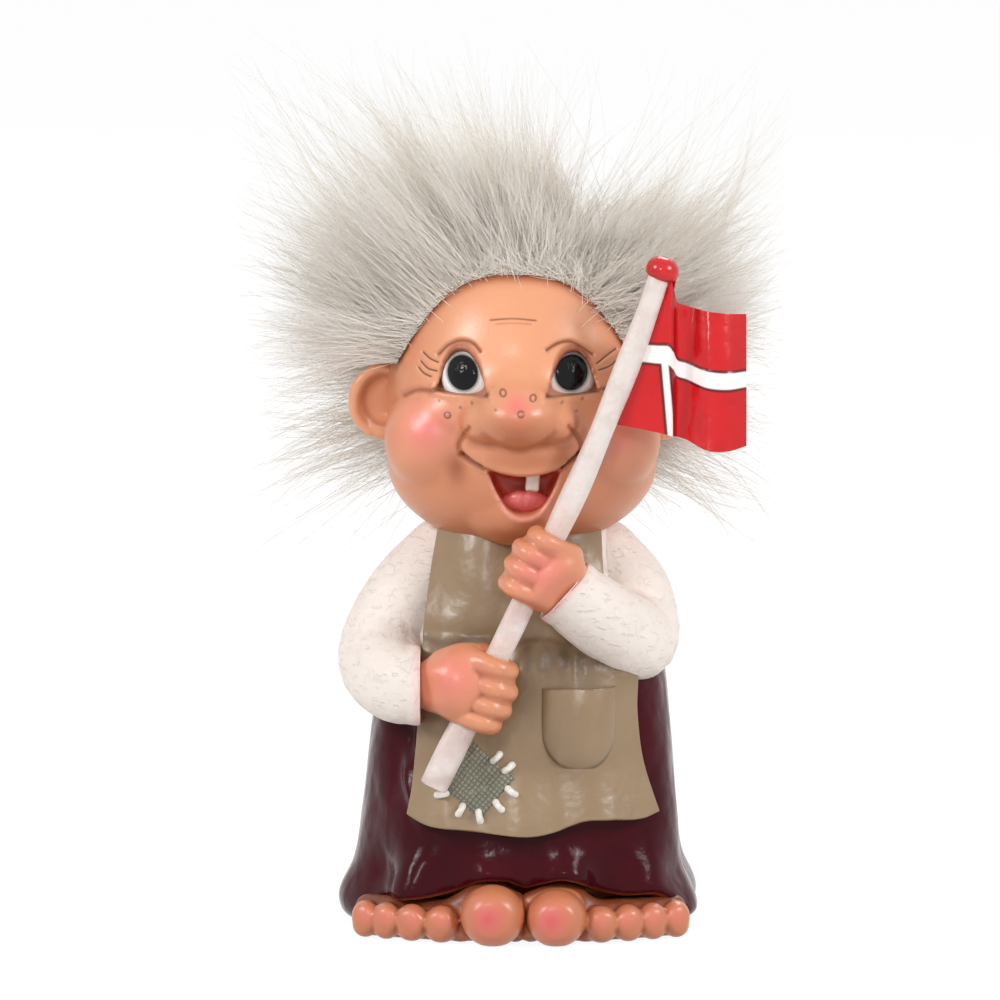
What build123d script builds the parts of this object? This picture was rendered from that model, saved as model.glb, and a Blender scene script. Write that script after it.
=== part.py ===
"""A standing troll figure in a blouse, an apron and a long skirt, who holds a flag on a staff.

The figure faces -Y and its own left is +X. The origin lies on the table, in the middle of the base.
All sizes are in millimetres and all angles in degrees.
"""

import math
import os

from build123d import *

# Body: heights above the table, with half sizes across and from front to back
BASE_HALF_WIDTH = 28.5
BASE_HALF_DEPTH = 23.5
HEM_HEIGHT = 6.5
HEM_HALF_WIDTH = 29.4
HEM_HALF_DEPTH = 25.0
SKIRT_HEIGHT = 19.0
SKIRT_HALF_WIDTH = 26.2
SKIRT_HALF_DEPTH = 22.0
WAIST_HEIGHT = 44.0
WAIST_HALF_WIDTH = 23.5
WAIST_HALF_DEPTH = 19.0
CHEST_HEIGHT = 56.0
CHEST_HALF_WIDTH = 19.0
CHEST_HALF_DEPTH = 15.5
SHOULDER_HEIGHT = 69.5
SHOULDER_HALF_WIDTH = 13.5
SHOULDER_HALF_DEPTH = 12.0
BODY_SQUARENESS = 2.5
FOLD_COUNT = 7
FOLD_DEPTH = 1.2
SECTION_POINTS = 28

# Feet
FOOT_GAP = 0.3
SOLE_HEIGHT = 3.0
SOLE_BACK = -8.0
SOLE_HALF_WIDTH = 26.8
BIG_TOE_RADIUS = 5.0
BIG_TOE_HALF_LENGTH = 5.8
BIG_TOE_HEIGHT = 5.2
SMALL_TOE_COUNT = 4
SMALL_TOE_RADIUS = 2.6
SMALL_TOE_TAPER = 0.3
SMALL_TOE_HALF_LENGTH = 4.2
SMALL_TOE_HEIGHT = 3.6
TOE_GAP = 0.1
TOE_LINE_FRONT = -25.6
TOE_LINE_SWEEP = 6.5

# Apron, its pocket and its patch
APRON_THICKNESS = 1.3
BIB_TOP = 67.0
BIB_HALF_WIDTH = 14.8
APRON_WAIST_HALF_WIDTH = 16.2
APRON_HEM_LEFT_WIDTH = 21.3
APRON_HEM_RIGHT_WIDTH = 18.3
APRON_HEM_HEIGHT = 20.3
APRON_HEM_DIP = 2.6
POCKET_THICKNESS = 1.2
POCKET_CENTRE = 9.6
POCKET_HALF_WIDTH = 6.4
POCKET_TOP = 42.5
POCKET_BOTTOM = 28.6
PATCH_THICKNESS = 0.8
PATCH_CENTRE_X = -7.2
PATCH_CENTRE_Z = 27.0
PATCH_SIDE = 7.8
PATCH_TURN = 52.0
STITCH_COUNT = 3
STITCH_THICKNESS = 0.7
STITCH_LENGTH = 2.6
STITCH_WIDTH = 0.9

# Staff, its knob and the flag
STAFF_FOOT_X = -14.2
STAFF_DEPTH = -27.0
STAFF_FOOT_Z = 27.0
STAFF_LEAN = 23.3
STAFF_LENGTH = 92.0
STAFF_FOOT_RADIUS = 3.15
STAFF_TOP_RADIUS = 2.3
STAFF_WAVE = 0.15
KNOB_RADIUS = 2.8
KNOB_HEIGHT = 4.0
KNOB_SPIGOT_RADIUS = 1.0
KNOB_SPIGOT_LENGTH = 3.0
FLAG_THICKNESS = 1.6
FLAG_RIGHT = 36.6
FLAG_TOP_AT_STAFF = 109.5
FLAG_TOP_AT_FLY = 104.4
FLAG_BOTTOM_AT_STAFF = 86.5
FLAG_BOTTOM_AT_FLY = 83.2
FLAG_CORNER = 1.2
FLAG_FOLD_X = 23.5
FLAG_FOLD_BACK = 5.0
FLAG_SWELL_X = 30.0
FLAG_SWELL_BACK = 2.4
FLAG_FLY_BACK = 4.2
CROSS_RELIEF = 0.3
CROSS_WIDTH = 3.0

# Arms: places of the joints, and radii of the sleeves and hands
RIGHT_SHOULDER = (-12.5, -1.0, 61.0)
RIGHT_ELBOW = (-26.5, -8.0, 44.5)
RIGHT_WRIST = (-15.6, -22.8, 42.8)
LEFT_SHOULDER = (13.0, -1.0, 60.0)
LEFT_ELBOW = (24.0, -11.5, 46.5)
LEFT_WRIST = (7.8, -22.0, 58.4)
ELBOW_BEND = 8.5
SHOULDER_RADIUS = 8.0
UPPER_ARM_RADIUS = 7.2
ELBOW_RADIUS = 6.8
CUFF_RADIUS = 5.7
RIGHT_GRIP_HEIGHT = 42.6
LEFT_GRIP_HEIGHT = 62.4
FINGER_COUNT = 4
FINGER_RADIUS = 1.55
FINGER_PITCH = 3.2
FINGER_SWEEP = 165.0
FINGER_STANDOFF = 0.6
PALM_RADIUS = 6.4
PALM_HALF_THICKNESS = 4.4
PALM_REACH = 5.0
WRIST_RADIUS = 4.4
WRIST_SOCKET_DEPTH = 3.0

# Head: heights above the table and radii of the skull
HEAD_DEPTH = -2.0
CHIN_HEIGHT = 66.5
CHEEK_HEIGHT = 87.0
CHEEK_RADIUS = 22.6
CROWN_HEIGHT = 116.8
NECK_RADIUS = 5.0
NECK_LENGTH = 5.0

# Face: places across, front to back and up, and half sizes of each bulge
NOSE_PLACE = (-0.5, -25.6, 88.0)
NOSE_RADIUS = 5.4
NOSE_HALF_HEIGHT = 4.9
NOSTRIL_SPREAD = 5.3
NOSTRIL_BACK = 2.2
NOSTRIL_DROP = 1.4
NOSTRIL_RADIUS = 3.4
CHEEK_SPREAD = 12.2
CHEEK_PLACE_Y = -14.0
CHEEK_PLACE_Z = 83.0
CHEEK_BULGE_RADIUS = 9.0
CHEEK_BULGE_HALF_HEIGHT = 8.4
UPPER_LIP_PLACE = (-0.3, -20.8, 81.0)
UPPER_LIP_RADIUS = 4.4
UPPER_LIP_HALF_WIDTH = 9.6
CHIN_PLACE = (-0.3, -15.6, 70.6)
CHIN_RADIUS = 4.3
CHIN_HALF_WIDTH = 7.6
MOUTH_HALF_WIDTH = 8.4
MOUTH_CORNER_HEIGHT = 80.2
MOUTH_TOP_HEIGHT = 77.2
MOUTH_BOTTOM_HEIGHT = 70.4
MOUTH_BACK = -15.0
TONGUE_PLACE = (0.0, -17.2, 72.0)
TONGUE_RADIUS = 3.2
TOOTH_PLACE = (1.4, -19.4, 77.0)
TOOTH_WIDTH = 2.0
TOOTH_DEPTH = 1.5
TOOTH_HEIGHT = 4.4
TOOTH_ROUND = 0.4
EYE_CENTRE = -0.7
EYE_SPREAD = 9.0
EYE_HEIGHT = 95.3
EYE_DEPTH = -19.0
EYE_RADIUS = 4.4
EAR_SPREAD = 22.8
EAR_DEPTH = -1.5
EAR_HEIGHT = 90.4
EAR_RADIUS = 6.3
EAR_HALF_THICKNESS = 2.6
EAR_SCOOP_SPREAD = 24.6
EAR_SCOOP_RADIUS = 4.0

# Wig: the hide on the skull and the fur that stands out of it
HIDE_THICKNESS = 1.2
HAIRLINE_HEIGHT = 94.5
HAIRLINE_TILT = 50.0
FUR_MAT_THICKNESS = 13.0
FUR_RADIUS = 49.0
FUR_UNEVENNESS = 4.0
TUFT_LENGTHS = 3
TUFT_ROOT_RADIUS = 10.0
TUFT_TIP_RADIUS = 2.0
TUFT_ROOT_DEPTH = 22.0
TUFT_ROWS = ((68.0, 13), (42.0, 9), (15.0, 4))
WIG_CENTRE_HEIGHT = 93.5

FRONT_REACH = 60.0
OVAL_STEPS = 8
LYING_ACROSS = (0, 90, 0)
LYING_FORWARD = (90, 0, 0)


def oval_points(radius, below, above):
    """Points along half an oval, from its low pole to its high pole."""
    points = [(0, -below)]
    for step in range(1, OVAL_STEPS):
        turn = math.radians(180 * step / OVAL_STEPS - 90)
        height = above if turn > 0 else below
        points.append((radius * math.cos(turn), height * math.sin(turn)))
    points.append((0, above))
    return points


def spheroid(radius, below, above=None):
    """A turned oval about the origin, round across Z, with equal poles unless above is given."""
    with BuildPart() as form:
        with BuildSketch(Plane.XZ):
            with BuildLine():
                edge = Spline(*oval_points(radius, below, above or below), tangents=((1, 0), (-1, 0)))
                Line(edge @ 0, edge @ 1)
            make_face()
        revolve(axis=Axis.Z)
    return form.part


def section_points(half_width, half_depth, fold):
    """Points of one body section: a squarish oval with fold running in and out round it."""
    points = []
    for step in range(SECTION_POINTS):
        turn = 2 * math.pi * step / SECTION_POINTS
        across = abs(math.cos(turn) / half_width) ** BODY_SQUARENESS
        along = abs(math.sin(turn) / half_depth) ** BODY_SQUARENESS
        radius = (across + along) ** (-1 / BODY_SQUARENESS) - fold * math.cos(FOLD_COUNT * turn)
        points.append((radius * math.cos(turn), radius * math.sin(turn)))
    return points


def round_bar(radius, half_length):
    """A bar along Z about the origin, with ball-shaped ends."""
    straight = half_length - radius
    with BuildPart() as form:
        with BuildSketch(Plane.XZ):
            with BuildLine():
                CenterArc((0, straight), radius, 0, 90)
                Line((radius, straight), (radius, -straight))
                CenterArc((0, -straight), radius, 270, 90)
                Line((0, -half_length), (0, half_length))
            make_face()
        revolve(axis=Axis.Z)
    return form.part


def body_form(growth):
    """The body from the table to the shoulders, grown outwards by growth."""
    levels = (
        (0, BASE_HALF_WIDTH, BASE_HALF_DEPTH, FOLD_DEPTH),
        (HEM_HEIGHT, HEM_HALF_WIDTH, HEM_HALF_DEPTH, FOLD_DEPTH),
        (SKIRT_HEIGHT, SKIRT_HALF_WIDTH, SKIRT_HALF_DEPTH, FOLD_DEPTH / 2),
        (WAIST_HEIGHT, WAIST_HALF_WIDTH, WAIST_HALF_DEPTH, 0),
        (CHEST_HEIGHT, CHEST_HALF_WIDTH, CHEST_HALF_DEPTH, 0),
        (SHOULDER_HEIGHT, SHOULDER_HALF_WIDTH, SHOULDER_HALF_DEPTH, 0),
    )
    with BuildPart() as form:
        for height, half_width, half_depth, fold in levels:
            with BuildSketch(Plane.XY.offset(height)):
                with BuildLine():
                    Spline(*section_points(half_width + growth, half_depth + growth, fold), periodic=True)
                make_face()
        loft()
    return form.part


def head_form(growth):
    """The skull without its features, a turned egg grown outwards by growth."""
    egg = spheroid(
        CHEEK_RADIUS + growth,
        CHEEK_HEIGHT - CHIN_HEIGHT + growth,
        CROWN_HEIGHT - CHEEK_HEIGHT + growth,
    )
    with BuildPart() as form:
        with Locations((0, HEAD_DEPTH, CHEEK_HEIGHT)):
            add(egg)
    return form.part


def toe_line(x):
    """How far forward the row of toes stands at x."""
    return TOE_LINE_FRONT + TOE_LINE_SWEEP * (x / SOLE_HALF_WIDTH) ** 2


def toe_places():
    """Centre x, radius, half length and centre height of each toe of a foot, from the big toe outwards."""
    toes = [(BIG_TOE_RADIUS + FOOT_GAP, BIG_TOE_RADIUS, BIG_TOE_HALF_LENGTH, BIG_TOE_HEIGHT)]
    for index in range(SMALL_TOE_COUNT):
        radius = SMALL_TOE_RADIUS - index * SMALL_TOE_TAPER
        last_x, last_radius = toes[-1][:2]
        x = last_x + last_radius + TOE_GAP + radius
        toes.append((x, radius, SMALL_TOE_HALF_LENGTH, SMALL_TOE_HEIGHT))
    return toes


def foot(side):
    """One bare foot, five toes in a row on a thick sole. Side is -1 for the right and 1 for the left."""
    toes = [(x, height, round_bar(radius, half_length)) for x, radius, half_length, height in toe_places()]
    inside = FOOT_GAP / 2
    middle = SOLE_HALF_WIDTH / 2
    with BuildPart() as part:
        with BuildSketch():
            with BuildLine():
                ThreePointArc(
                    (side * inside, toe_line(0)),
                    (side * middle, toe_line(middle)),
                    (side * SOLE_HALF_WIDTH, toe_line(SOLE_HALF_WIDTH)),
                )
                Polyline(
                    (side * SOLE_HALF_WIDTH, toe_line(SOLE_HALF_WIDTH)),
                    (side * middle, SOLE_BACK),
                    (side * inside, SOLE_BACK),
                    (side * inside, toe_line(0)),
                )
            make_face()
        extrude(amount=SOLE_HEIGHT)
        for x, height, toe in toes:
            with Locations(Location((side * x, toe_line(x), height), LYING_FORWARD)):
                add(toe)
    return part.part


def sleeve(shoulder, elbow, wrist):
    """One arm in its sleeve: a round shoulder and a bent tube that narrows to the cuff."""
    with BuildLine() as path:
        FilletPolyline(shoulder, elbow, wrist, radius=ELBOW_BEND)
    spine = path.wire()
    stations = (
        (0, SHOULDER_RADIUS),
        (0.3, UPPER_ARM_RADIUS),
        (0.55, ELBOW_RADIUS),
        (0.78, ELBOW_RADIUS),
        (1, CUFF_RADIUS),
    )
    with BuildPart() as part:
        for share, radius in stations:
            with BuildSketch(Plane(origin=spine @ share, z_dir=spine % share)):
                Circle(radius)
        loft()
        with Locations(shoulder):
            Sphere(SHOULDER_RADIUS)
    return part.part


def staff_direction():
    lean = math.radians(STAFF_LEAN)
    return Vector(math.sin(lean), 0, math.cos(lean))


def staff_point(height):
    """The point of the staff's axis at a height above the table."""
    foot_point = Vector(STAFF_FOOT_X, STAFF_DEPTH, STAFF_FOOT_Z)
    return foot_point + staff_direction() * ((height - STAFF_FOOT_Z) / math.cos(math.radians(STAFF_LEAN)))


def grip_plane(height):
    """A plane across the staff, with its normal up the staff and its y pointing back into the figure."""
    lean = math.radians(STAFF_LEAN)
    return Plane(
        origin=staff_point(height),
        x_dir=(math.cos(lean), 0, -math.sin(lean)),
        z_dir=staff_direction(),
    )


def wrist_stub(height, side, wrist):
    """The round wrist, from inside the cuff to the palm."""
    palm_place = grip_plane(height).from_local_coords((side * PALM_REACH, 0, 0))
    toward_palm = (palm_place - Vector(*wrist)).normalized()
    start = Vector(*wrist) - toward_palm * WRIST_SOCKET_DEPTH
    with BuildPart() as part:
        with BuildSketch(Plane(origin=start, z_dir=toward_palm)):
            Circle(WRIST_RADIUS)
        extrude(amount=(palm_place - start).length)
    return part.part


def hand(height, side, stub):
    """A fist round the staff, on its wrist stub. The fingers pass in front of the staff."""
    grip = grip_plane(height)
    palm = spheroid(PALM_RADIUS, PALM_HALF_THICKNESS)
    finger_ring = STAFF_FOOT_RADIUS + FINGER_RADIUS * FINGER_STANDOFF
    start_angle = 0 if side > 0 else 180
    palm_place = grip.from_local_coords((side * PALM_REACH, -FINGER_RADIUS / 2, 0))
    with BuildPart() as part:
        with Locations(Plane(origin=palm_place, x_dir=grip.x_dir, z_dir=(0, -1, 0)).location):
            add(palm)
        for index in range(FINGER_COUNT):
            level = grip.offset((index - (FINGER_COUNT - 1) / 2) * FINGER_PITCH)
            with BuildLine(level) as knuckles:
                arc = CenterArc((0, 0), finger_ring, start_angle, -side * FINGER_SWEEP)
            with BuildSketch(Plane(origin=arc @ 0, z_dir=arc % 0)):
                Circle(FINGER_RADIUS)
            sweep(path=knuckles.wire())
            with Locations(arc @ 1):
                Sphere(FINGER_RADIUS)
        add(stub)
    return part.part


def less(piece, *others):
    """A piece cut back by its neighbours, so that it seats on them."""
    with BuildPart() as part:
        add(piece)
        for other in others:
            add(other, mode=Mode.SUBTRACT)
    return part.part


body = body_form(0)
skull = head_form(0)
waist = Plane.XY.offset(WAIST_HEIGHT)

# Eyes: two balls, which the sockets of the head fit
eyes = {}
for side_name, side in (("right", -1), ("left", 1)):
    with BuildPart() as eye:
        with Locations((EYE_CENTRE + side * EYE_SPREAD, EYE_DEPTH, EYE_HEIGHT)):
            Sphere(EYE_RADIUS)
    eyes[side_name] = eye.part

# Head: the skull with nose, cheeks, lip and chin, a mouth hollow, two sockets and a neck spigot
nose_bulb = spheroid(NOSE_RADIUS, NOSE_HALF_HEIGHT)
cheek = spheroid(CHEEK_BULGE_RADIUS, CHEEK_BULGE_HALF_HEIGHT)
upper_lip = round_bar(UPPER_LIP_RADIUS, UPPER_LIP_HALF_WIDTH)
chin = round_bar(CHIN_RADIUS, CHIN_HALF_WIDTH)
with BuildPart() as head:
    add(skull)
    with Locations(NOSE_PLACE):
        add(nose_bulb)
        with Locations(
            (-NOSTRIL_SPREAD, NOSTRIL_BACK, -NOSTRIL_DROP),
            (NOSTRIL_SPREAD, NOSTRIL_BACK, -NOSTRIL_DROP),
        ):
            Sphere(NOSTRIL_RADIUS)
    with Locations(
        (-CHEEK_SPREAD, CHEEK_PLACE_Y, CHEEK_PLACE_Z),
        (CHEEK_SPREAD, CHEEK_PLACE_Y, CHEEK_PLACE_Z),
    ):
        add(cheek)
    with Locations(Location(UPPER_LIP_PLACE, LYING_ACROSS)):
        add(upper_lip)
    with Locations(Location(CHIN_PLACE, LYING_ACROSS)):
        add(chin)
    with BuildSketch(Plane.XZ.offset(-MOUTH_BACK)):
        with BuildLine():
            ThreePointArc(
                (-MOUTH_HALF_WIDTH, MOUTH_CORNER_HEIGHT),
                (0, MOUTH_TOP_HEIGHT),
                (MOUTH_HALF_WIDTH, MOUTH_CORNER_HEIGHT),
            )
            ThreePointArc(
                (-MOUTH_HALF_WIDTH, MOUTH_CORNER_HEIGHT),
                (0, MOUTH_BOTTOM_HEIGHT),
                (MOUTH_HALF_WIDTH, MOUTH_CORNER_HEIGHT),
            )
        make_face()
    extrude(amount=FRONT_REACH, mode=Mode.SUBTRACT)
    with BuildSketch(Plane.XY.offset(CHIN_HEIGHT - NECK_LENGTH)):
        with Locations((0, HEAD_DEPTH)):
            Circle(NECK_RADIUS)
    extrude(amount=2 * NECK_LENGTH)
    for eye_ball in eyes.values():
        add(eye_ball, mode=Mode.SUBTRACT)

# Tongue and tooth, seated in the mouth hollow
with BuildPart() as tongue:
    with Locations(TONGUE_PLACE):
        Sphere(TONGUE_RADIUS)
    add(head.part, mode=Mode.SUBTRACT)

with BuildPart() as tooth:
    with Locations(TOOTH_PLACE):
        Box(TOOTH_WIDTH, TOOTH_DEPTH, TOOTH_HEIGHT)
    fillet(tooth.edges().group_by(Axis.Z)[0], TOOTH_ROUND)
    add(head.part, mode=Mode.SUBTRACT)

# Ears: flat round lobes with a scooped front, cut to the side of the head
ear_lobe = spheroid(EAR_RADIUS, EAR_HALF_THICKNESS)
ears = {}
for side_name, side in (("right", -1), ("left", 1)):
    with BuildPart() as ear:
        with Locations(Location((side * EAR_SPREAD, EAR_DEPTH, EAR_HEIGHT), LYING_FORWARD)):
            add(ear_lobe)
        with Locations((side * EAR_SCOOP_SPREAD, EAR_DEPTH - EAR_SCOOP_RADIUS, EAR_HEIGHT)):
            Sphere(EAR_SCOOP_RADIUS, mode=Mode.SUBTRACT)
    ears[side_name] = ear.part

# Wig: a thin hide behind a tilted hairline, and tufts of fur rising from a mat on it
hide_form = head_form(HIDE_THICKNESS)
mat_form = head_form(HIDE_THICKNESS + FUR_MAT_THICKNESS)
tilt = math.radians(HAIRLINE_TILT)
hairline = Plane(
    origin=(0, HEAD_DEPTH, HAIRLINE_HEIGHT),
    x_dir=(1, 0, 0),
    z_dir=(0, math.sin(tilt), math.cos(tilt)),
)
with BuildPart() as wig_hide:
    add(hide_form)
    split(bisect_by=hairline, keep=Keep.TOP)
    add(skull, mode=Mode.SUBTRACT)
    for ear_form in ears.values():
        add(ear_form, mode=Mode.SUBTRACT)

wig_centre = Vector(0, HEAD_DEPTH, WIG_CENTRE_HEIGHT)
tufts = {}
for row, (polar, count) in enumerate(TUFT_ROWS):
    for index in range(count):
        turn = 2 * math.pi * (index + row / 2) / count
        spread = math.radians(polar)
        aside = math.sin(spread)
        away = Vector(math.sin(turn) * aside, math.cos(turn) * aside, math.cos(spread))
        direction = hairline.from_local_coords(away) - hairline.origin
        reach = FUR_RADIUS + FUR_UNEVENNESS * ((index + row) % TUFT_LENGTHS - 1)
        place = Plane(origin=wig_centre + direction * TUFT_ROOT_DEPTH, z_dir=direction).location
        tufts.setdefault(reach, []).append(place)
with BuildPart() as wig_fur:
    add(mat_form)
    split(bisect_by=hairline, keep=Keep.TOP)
    for reach, places in tufts.items():
        with Locations(*places):
            Cone(
                TUFT_ROOT_RADIUS,
                TUFT_TIP_RADIUS,
                reach - TUFT_ROOT_DEPTH,
                align=(Align.CENTER, Align.CENTER, Align.MIN),
            )
    add(hide_form, mode=Mode.SUBTRACT)
    for ear_form in ears.values():
        add(ear_form, mode=Mode.SUBTRACT)

# The cuts for the ears leave thin slivers beside them, which are dropped
fur_piece = wig_fur.part.solids().sort_by(SortBy.VOLUME)[-1]

# Feet, and the skirt that they are let into
feet = {"right": foot(-1), "left": foot(1)}
with BuildPart() as skirt:
    add(body)
    split(bisect_by=waist, keep=Keep.BOTTOM)
    for foot_part in feet.values():
        add(foot_part, mode=Mode.SUBTRACT)

# Torso: the blouse above the waist, dished and bored for the head and its neck
with BuildPart() as torso:
    add(body)
    split(bisect_by=waist, keep=Keep.TOP)
    add(head.part, mode=Mode.SUBTRACT)

# Apron: a sheet on the front of the body, with a narrow bib and a dipping hem
apron_form = body_form(APRON_THICKNESS)
pocket_form = body_form(APRON_THICKNESS + POCKET_THICKNESS)
patch_form = body_form(APRON_THICKNESS + PATCH_THICKNESS)
stitch_form = body_form(APRON_THICKNESS + PATCH_THICKNESS + STITCH_THICKNESS)
with BuildPart() as apron:
    add(apron_form)
    with BuildSketch(Plane.XZ):
        with BuildLine():
            Polyline(
                (-APRON_HEM_RIGHT_WIDTH, APRON_HEM_HEIGHT),
                (-APRON_WAIST_HALF_WIDTH, WAIST_HEIGHT),
                (-BIB_HALF_WIDTH, BIB_TOP),
                (BIB_HALF_WIDTH, BIB_TOP),
                (APRON_WAIST_HALF_WIDTH, WAIST_HEIGHT),
                (APRON_HEM_LEFT_WIDTH, APRON_HEM_HEIGHT),
            )
            Spline(
                (APRON_HEM_LEFT_WIDTH, APRON_HEM_HEIGHT),
                (APRON_HEM_LEFT_WIDTH / 2, APRON_HEM_HEIGHT),
                (-APRON_HEM_RIGHT_WIDTH / 4, APRON_HEM_HEIGHT - APRON_HEM_DIP),
                (-APRON_HEM_RIGHT_WIDTH, APRON_HEM_HEIGHT),
            )
        make_face()
    extrude(amount=FRONT_REACH, mode=Mode.INTERSECT)
    add(body, mode=Mode.SUBTRACT)
    add(head.part, mode=Mode.SUBTRACT)

# Pocket: a rounded pouch on the apron
with BuildPart() as apron_pocket:
    add(pocket_form)
    with BuildSketch(Plane.XZ):
        pocket_low = POCKET_BOTTOM + POCKET_HALF_WIDTH
        with BuildLine():
            Polyline(
                (POCKET_CENTRE - POCKET_HALF_WIDTH, pocket_low),
                (POCKET_CENTRE - POCKET_HALF_WIDTH, POCKET_TOP),
                (POCKET_CENTRE + POCKET_HALF_WIDTH, POCKET_TOP),
                (POCKET_CENTRE + POCKET_HALF_WIDTH, pocket_low),
            )
            ThreePointArc(
                (POCKET_CENTRE + POCKET_HALF_WIDTH, pocket_low),
                (POCKET_CENTRE, POCKET_BOTTOM),
                (POCKET_CENTRE - POCKET_HALF_WIDTH, pocket_low),
            )
        make_face()
    extrude(amount=FRONT_REACH, mode=Mode.INTERSECT)
    add(apron_form, mode=Mode.SUBTRACT)

# Patch: a turned square, and stitches across its edges
patch_plane = Plane(
    origin=(PATCH_CENTRE_X, 0, PATCH_CENTRE_Z),
    x_dir=(math.cos(math.radians(PATCH_TURN)), 0, math.sin(math.radians(PATCH_TURN))),
    z_dir=(0, -1, 0),
)
with BuildPart() as apron_patch:
    add(patch_form)
    with BuildSketch(patch_plane):
        Rectangle(PATCH_SIDE, PATCH_SIDE)
    extrude(amount=FRONT_REACH, mode=Mode.INTERSECT)
    add(apron_form, mode=Mode.SUBTRACT)

stitch_pitch = PATCH_SIDE / STITCH_COUNT
with BuildPart() as patch_stitches:
    add(stitch_form)
    with BuildSketch(patch_plane):
        for edge_side in (-1, 1):
            with Locations((edge_side * PATCH_SIDE / 2, 0)):
                with GridLocations(0, stitch_pitch, 1, STITCH_COUNT):
                    Rectangle(STITCH_LENGTH, STITCH_WIDTH)
            with Locations((0, edge_side * PATCH_SIDE / 2)):
                with GridLocations(stitch_pitch, 0, STITCH_COUNT, 1):
                    Rectangle(STITCH_WIDTH, STITCH_LENGTH)
    extrude(amount=FRONT_REACH, mode=Mode.INTERSECT)
    add(apron_form, mode=Mode.SUBTRACT)
    add(apron_patch.part, mode=Mode.SUBTRACT)

# Staff: a slightly uneven turned pole
staff_plane = Plane(origin=staff_point(STAFF_FOOT_Z), x_dir=staff_direction(), z_dir=(0, -1, 0))
staff_axis = Axis(staff_point(STAFF_FOOT_Z), staff_direction())
staff_middle_radius = (STAFF_FOOT_RADIUS + STAFF_TOP_RADIUS) / 2
with BuildPart() as flag_staff:
    with BuildSketch(staff_plane):
        with BuildLine():
            Polyline((0, STAFF_FOOT_RADIUS), (0, 0), (STAFF_LENGTH, 0), (STAFF_LENGTH, STAFF_TOP_RADIUS))
            Spline(
                (0, STAFF_FOOT_RADIUS),
                (STAFF_LENGTH / 4, staff_middle_radius - STAFF_WAVE),
                (STAFF_LENGTH / 2, staff_middle_radius + STAFF_WAVE),
                (STAFF_LENGTH * 3 / 4, staff_middle_radius - STAFF_WAVE),
                (STAFF_LENGTH, STAFF_TOP_RADIUS),
            )
        make_face()
    revolve(axis=staff_axis)

# Knob: a flattened ball with a spigot let into the top of the staff
with BuildPart() as staff_knob:
    with BuildSketch(staff_plane):
        with BuildLine():
            Polyline(
                (STAFF_LENGTH - KNOB_SPIGOT_LENGTH, KNOB_SPIGOT_RADIUS),
                (STAFF_LENGTH - KNOB_SPIGOT_LENGTH, 0),
                (STAFF_LENGTH + KNOB_HEIGHT, 0),
            )
            Spline(
                (STAFF_LENGTH + KNOB_HEIGHT, 0),
                (STAFF_LENGTH + KNOB_HEIGHT * 0.45, KNOB_RADIUS),
                (STAFF_LENGTH, STAFF_TOP_RADIUS),
                tangents=((0, 1), (-1, -1)),
            )
            Polyline(
                (STAFF_LENGTH, STAFF_TOP_RADIUS),
                (STAFF_LENGTH, KNOB_SPIGOT_RADIUS),
                (STAFF_LENGTH - KNOB_SPIGOT_LENGTH, KNOB_SPIGOT_RADIUS),
            )
        make_face()
    revolve(axis=staff_axis)
staff_piece = less(flag_staff.part, staff_knob.part)


def flag_wave(relief):
    """The waving sheet that the flag is cut from, with relief added to its front."""
    hoist_x = staff_point(FLAG_BOTTOM_AT_STAFF).X
    front = STAFF_DEPTH - FLAG_THICKNESS / 2
    wave = (
        (hoist_x, front),
        (FLAG_FOLD_X, front + FLAG_FOLD_BACK),
        (FLAG_SWELL_X, front + FLAG_SWELL_BACK),
        (FLAG_RIGHT, front + FLAG_FLY_BACK),
    )
    with BuildPart() as sheet:
        with BuildSketch(Plane.XY.offset(FLAG_BOTTOM_AT_FLY)):
            with BuildLine():
                face_line = Spline(*[(x, y - relief) for x, y in wave])
                back_line = Spline(*[(x, y + FLAG_THICKNESS) for x, y in wave])
                Line(face_line @ 0, back_line @ 0)
                Line(face_line @ 1, back_line @ 1)
            make_face()
        extrude(amount=FLAG_TOP_AT_STAFF - FLAG_BOTTOM_AT_FLY)
    return sheet.part


# Flag: the waving sheet trimmed to a sagging outline, with a raised cross
staff_top = staff_point(FLAG_TOP_AT_STAFF)
staff_low = staff_point(FLAG_BOTTOM_AT_STAFF)
cross_mid_staff = (FLAG_TOP_AT_STAFF + FLAG_BOTTOM_AT_STAFF) / 2
cross_mid_fly = (FLAG_TOP_AT_FLY + FLAG_BOTTOM_AT_FLY) / 2
plain_wave = flag_wave(0)
cross_wave = flag_wave(CROSS_RELIEF)
with BuildPart() as flag_outline:
    with BuildSketch(Plane.XZ):
        with BuildLine():
            Polyline(
                (staff_low.X, FLAG_BOTTOM_AT_STAFF),
                (staff_top.X, FLAG_TOP_AT_STAFF),
                (FLAG_RIGHT, FLAG_TOP_AT_FLY),
                (FLAG_RIGHT, FLAG_BOTTOM_AT_FLY),
                close=True,
            )
        outline_face = make_face()
        fillet(outline_face.vertices().group_by(Axis.X)[-1], FLAG_CORNER)
    extrude(amount=FRONT_REACH)

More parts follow.
